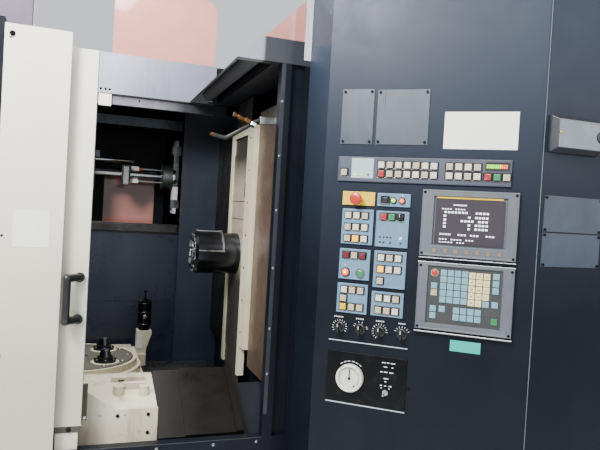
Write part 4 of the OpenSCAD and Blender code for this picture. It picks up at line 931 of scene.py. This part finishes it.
# spindle nose
NOSE = Matrix.Translation((0, -0.005, 1.33))
NOSE_X = 193.5
nose_bolt = disc((NOSE_X, -5, 1418.5), LEFT, [(6.2, 0), (6.2, 5), (4.8, 6.5), (2.8, 6.5), (2.8, 3)], 14)
nose_ring = [(83.5, 0), (83.5, 2), (81.5, 3.6), (65, 3.6), (63, 1.8)]


def round_nose(ob, angles):
    """Copies of a piece, turned about the spindle's axis."""
    return copies(ob, [((0, 0, 0), NOSE @ spin(a, "X") @ NOSE.inverted()) for a in angles])


finish(round_nose(nose_bolt, range(15, 360, 30)), "nose_bolts", chrome, "head")
finish(disc((NOSE_X, -5, 1330), LEFT, nose_ring, 72), "nose_ring", steel, "head")
finish(round_nose(slab(179, 190, -13, 3, 1370, 1385, 1.5), (0, 180)), "drive_keys", chrome, "spindle")

# column and covers
spots = [(400, -206, z) for z in range(980, 1881, 150)]
finish(screws(spots, LEFT, [(5, 0), (5, 1.6), (3, 2.6)], 12), "frame_screws", black_steel, "column")
VENTS = (1640, 1045)
finish([slab(405.4, 406.6, -144, -112, z - 34, z + 34, 0.4) for z in VENTS], "vent_backs", pit, "head")
slats = [slab(405, 405.6, -141, -115, z - 30 + 12 * i, z - 24 + 12 * i, 0.2) for z in VENTS for i in range(6)]
finish(slats, "vent_slats", black, "head")
finish([slab(405.2, 406.6, -149, 120, z, z + 3, 0.3) for z in (1500, 1585)], "plate_seams", pit, "head")

# table
TABLE = (-305, -5)
CONE_OUT = 117
spots = [(x, -693.5, z) for x, z in ((-270, 832), (-159, 790), (-52.5, 790), (-52.5, 724))]
finish(screws(spots, FRONT, [(6, 0), (6, 5), (5.2, 6), (3, 6), (3, 2.5)], 16), "base_bolts", black_steel,
       "table")
ribs = [slab(-176, -52, -482, -462, 846, 868), slab(-136, -46, -536, -516, 836, 860)]
for rib in ribs:
    pick(rib, facing(UP))
    bpy.ops.mesh.inset(thickness=4 * MM, depth=2 * MM)
    bpy.ops.transform.translate(value=(0, 3 * MM, 0))
    leave()
    soften(rib, 6, 4, 25)
finish(ribs, "table_ribs", cream, "table")
finish([slab(-150, -128, -538.5, -536.5, 838, 846, 0.6), slab(-76, -50, -538.5, -536.5, 838, 846, 0.6),
        slab(-150, -126, -484, -482.2, 852, 858, 0.6)], "rib_slits", pit, "table")
cones = [(TABLE[0] + x, TABLE[1] + y) for x in (-CONE_OUT, CONE_OUT) for y in (-CONE_OUT, CONE_OUT)]
seats = screws([(*spot, 838) for spot in cones], UP, [(60, 0), (60, 2.2), (57, 3.6), (48.5, 3.6)], 48)
finish(seats, "cone_seats", cream, "rotary")
tips = screws([(*spot, 893.8) for spot in cones], UP, [(18.6, 0), (18, 1.2), (10, 2), (8, 0.8)], 32)
finish(tips, "cone_tips", chrome, "rotary")
spots = [(*spot, 852) for cone in cones for spot in round_about(*cone, 41, 6, 30)]
finish(screws(spots, UP, [(4.2, 0), (4.2, 3), (3.4, 4), (2, 4)], 12), "cone_bolts", steel, "rotary")
spots = [(*spot, 838) for spot in round_about(*TABLE, 222, 12)]
finish(screws(spots, UP, [(7, 0), (7, 4), (5.5, 5.5), (3.4, 5.5), (3.4, 2)], 14), "disc_bolts", steel,
       "rotary")
# the setter plate is bright metal: its white is a painted reflection
finish(slab(-16.5, 12, 319, 320.7, 790, 858, 0.6), "setter_plate", scuffed_paint_and_highlight, "table")
finish(disc((19, 323.5, 955), FRONT, [(11, 0), (11, 3), (9, 4.5), (4, 5)], 24), "probe_cap", steel, "table")
bands = screws([(19, 358, z) for z in (912, 975, 1022)], UP,
               [(34.5, 0), (35.8, 1.5), (35.8, 4.5), (34.5, 6)], 40)
finish(bands, "probe_bands", black, "table")

# outside panels of the housing
HALF_WIDE, HALF_DEEP = 1.8, 1.47
SCREW_HEAD = [(8, 0), (8, 2.2), (5.8, 4), (3, 4), (3, 2)]
panel_navy = paint("panel_navy", (34, 40, 50), (52, 59, 70), (20, 22, 26), (0.32, 0.48), 2.4, 0.6, 0.4)
mirroring(panel_navy, 0.2)
SIDES = {"left": Matrix.Translation((-HALF_WIDE, 0, 0)) @ spin(-90, "Z"),
         "right": Matrix.Translation((HALF_WIDE, 0, 0)) @ spin(90, "Z"),
         "rear": Matrix.Translation((0, HALF_DEEP, 0)) @ spin(180, "Z")}
# panels seen from outside: left edge, right edge, top, and the top of the louvred one below a split
PANELS = (("left", -1340, -700, 1900, 0), ("left", -660, 20, 1900, 0), ("left", 60, 700, 1900, 1180),
          ("right", -680, -60, 2120, 0), ("right", -20, 620, 2120, 1160), ("right", 660, 1280, 2120, 0),
          ("rear", -1720, -1140, 2080, 0), ("rear", -1100, -520, 2080, 1120), ("rear", -480, 220, 1980, 0),
          ("rear", 260, 860, 1980, 1000), ("rear", 940, 1720, 1800, 0))
PANEL_FOOT, SPLIT_GAP, TALL = 320, 40, 1200


def on_side(side, ob):
    """Moves what was made flat on the front to an outside wall."""
    ob.data.transform(SIDES[side])
    return ob


def outside(side, x0, x1, z0, z1, near, far, round_by):
    """A block on an outside wall: x runs to the right seen from outside, near and far are heights above the
    wall."""
    return on_side(side, slab(x0, x1, -far, -near, z0, z1, round_by))


sheets, heads, slats, pits = [], [], [], []
for side, x0, x1, top, split in PANELS:
    for z0, z1 in ((PANEL_FOOT, split), (split + SPLIT_GAP, top)) if split else ((PANEL_FOOT, top),):
        sheets.append(outside(side, x0, x1, z0, z1, -1, 3, 1.2))
        across = [x0 + 30, (x0 + x1) / 2, x1 - 30]
        steps = 3 if z1 - z0 > TALL else 2
        up = [z0 + 30 + i * (z1 - z0 - 60) / steps for i in range(steps + 1)]
        for x, z in [(x, z) for x in across for z in up if x != across[1] or z in (up[0], up[-1])]:
            heads.append(on_side(side, disc((x, -3, z), FRONT, SCREW_HEAD, 10)))
        for i in range(10 if z1 == split else 0):
            z = (z0 + z1) / 2 - 160 + i * 34
            pits.append(outside(side, x0 + 100, x1 - 100, z, z + 10, 2, 3.4, 0.2))
            slat = slab(x0 + 90, x1 - 90, -3, -1, z + 8, z + 24)
            pick(slat, facing(FRONT))
            bpy.ops.transform.translate(value=(0, -10 * MM, -6 * MM))
            leave()
            slats.append(on_side(side, soften(slat, 1.5, 2, 25)))
finish(sheets, "outside_panels", panel_navy)
finish(heads, "outside_panel_screws", black_steel)
finish(slats, "louvre_slats", panel_navy)
finish(pits, "louvre_gaps", pit)

# grips of the service doors, and cable glands on their plate at the rear
grips = []
for side, x, z in (("rear", -1620, 1200), ("rear", 1050, 1100), ("left", -600, 1100), ("right", 740, 1200),
        ("right", -600, 1200)):
    grips.append(outside(side, x - 16, x + 16, z - 75, z + 75, 2, 6, 2))
    half = [(6, 55), (30, 55), (34, 48)]
    loop = [(x, -far, z - up) for far, up in half] + [(x, -far, z + up) for far, up in reversed(half)]
    grips.append(on_side(side, tube(loop, 6, 14)))
finish(grips, "service_grips", black)
finish(outside("rear", 400, 720, 560, 760, 3, 8, 2), "gland_plate", steel)
gland = [(20, 0), (20, 12), (17, 14), (17, 22), (12, 28), (6, 28)]
glands = [on_side("rear", disc((450 + i * 55, -8, 660), FRONT, gland, 6 if i % 2 else 20)) for i in range(5)]
finish(glands, "cable_glands", black)

# roof: cover sheets with screws, and lifting eyes
sheets, spots = [], []
for x0, x1, y0, y1, z in ((-1760, -930, -720, 320, 2130), (-1760, -930, 360, 1430, 2130),
        (500, 1760, -740, 320, 2330),
                          (500, 1760, 360, 1430, 2330), (-860, 420, 840, 1430, 2286)):
    sheets.append(slab(x0, x1, y0, y1, z - 1, z + 3, 1.2))
    middle = ((x0 + x1) / 2, (y0 + y1) / 2)
    spots += [(x, y, z + 3) for x in (x0 + 30, middle[0], x1 - 30) for y in (y0 + 30, middle[1], y1 - 30)
        if (x, y) != middle]
finish(sheets, "roof_sheets", panel_navy)
finish(screws(spots, UP, SCREW_HEAD, 10), "roof_screws", black_steel)
turns = [math.radians(20 * i) for i in range(19)]
ring = tube([(26 * math.sin(a), 0, 34 - 26 * math.cos(a)) for a in turns], 7, 12)
eye = joined([ring, disc((0, 0, 0), UP, [(22, 0), (22, 7), (16, 10)], 20)])
corners = ((-1660, -600, 2133), (-1660, 1330, 2133), (1660, 1330, 2333), (1660, -620, 2333),
           (600, 1330, 2333))
finish(copies(eye, [(place,) for place in corners]), "lifting_eyes", black_steel)

# studio
deselect()
bpy.ops.mesh.primitive_plane_add(size=24, location=(0, 0, 0))
floor = bpy.context.active_object
floor.name = "studio_floor"
f = Finish("pale_floor")
f.give(Base_Color=f.mix(f.ramp(f.clouds(1.5, 3), 0.3, 0.7), srgb((226, 228, 230)), srgb((232, 233, 235))),
    Roughness=0.7)
floor.data.materials.append(f.material)

world = bpy.data.worlds.new("studio")
bpy.context.scene.world = world
world.use_nodes = True
tree = world.node_tree
tree.nodes.clear()
# the camera, glass and mirroring surfaces see the backdrop, all other light comes from the ambient one
paths = tree.nodes.new("ShaderNodeLightPath")
seen = paths.outputs["Is Camera Ray"]
for ray in ("Is Transmission Ray", "Is Glossy Ray"):
    either = tree.nodes.new("ShaderNodeMath")
    either.operation = "MAXIMUM"
    tree.links.new(seen, either.inputs[0])
    tree.links.new(paths.outputs[ray], either.inputs[1])
    seen = either.outputs[0]
blend = tree.nodes.new("ShaderNodeMixShader")
tree.links.new(seen, blend.inputs["Fac"])
for slot, colour, strength in ((1, (0.8, 0.86, 0.95, 1), 0.55), (2, (0.88, 0.9, 0.93, 1), 1)):
    sky = tree.nodes.new("ShaderNodeBackground")
    sky.inputs["Color"].default_value = colour
    sky.inputs["Strength"].default_value = strength
    tree.links.new(sky.outputs[0], blend.inputs[slot])
tree.links.new(blend.outputs[0], tree.nodes.new("ShaderNodeOutputWorld").inputs["Surface"])


def softbox(name, place, target, width, height, watts):
    light = bpy.data.lights.new(name, "AREA")
    light.shape = "RECTANGLE"
    light.size = width
    light.size_y = height
    light.energy = watts
    ob = bpy.data.objects.new(name, light)
    turn = (Vector(place) - Vector(target)).to_track_quat("Z", "Y").to_matrix().to_4x4()
    ob.matrix_world = Matrix.Translation(place) @ turn
    bpy.context.scene.collection.objects.link(ob)


softbox("key_light", (-2.6, -4.6, 4.2), (0.1, -0.4, 1.3), 3, 2.2, 270)
softbox("fill_light", (3, -4.8, 3), (0.8, -1.2, 1.3), 2.5, 2.5, 85)
softbox("top_light", (-0.4, 0.2, 5.2), (-0.3, 0.1, 1.2), 3.2, 3.2, 160)
softbox("door_light", (-1.5, -2.3, 3.3), (-0.95, -0.8, 2.35), 0.7, 0.7, 170)
softbox("bay_light", (-0.35, -0.35, 3), (-0.1, 0.2, 1.1), 0.9, 0.8, 45)
softbox("rear_light", (0.5, 5, 3.6), (0, 1, 1.4), 4, 2.5, 130)
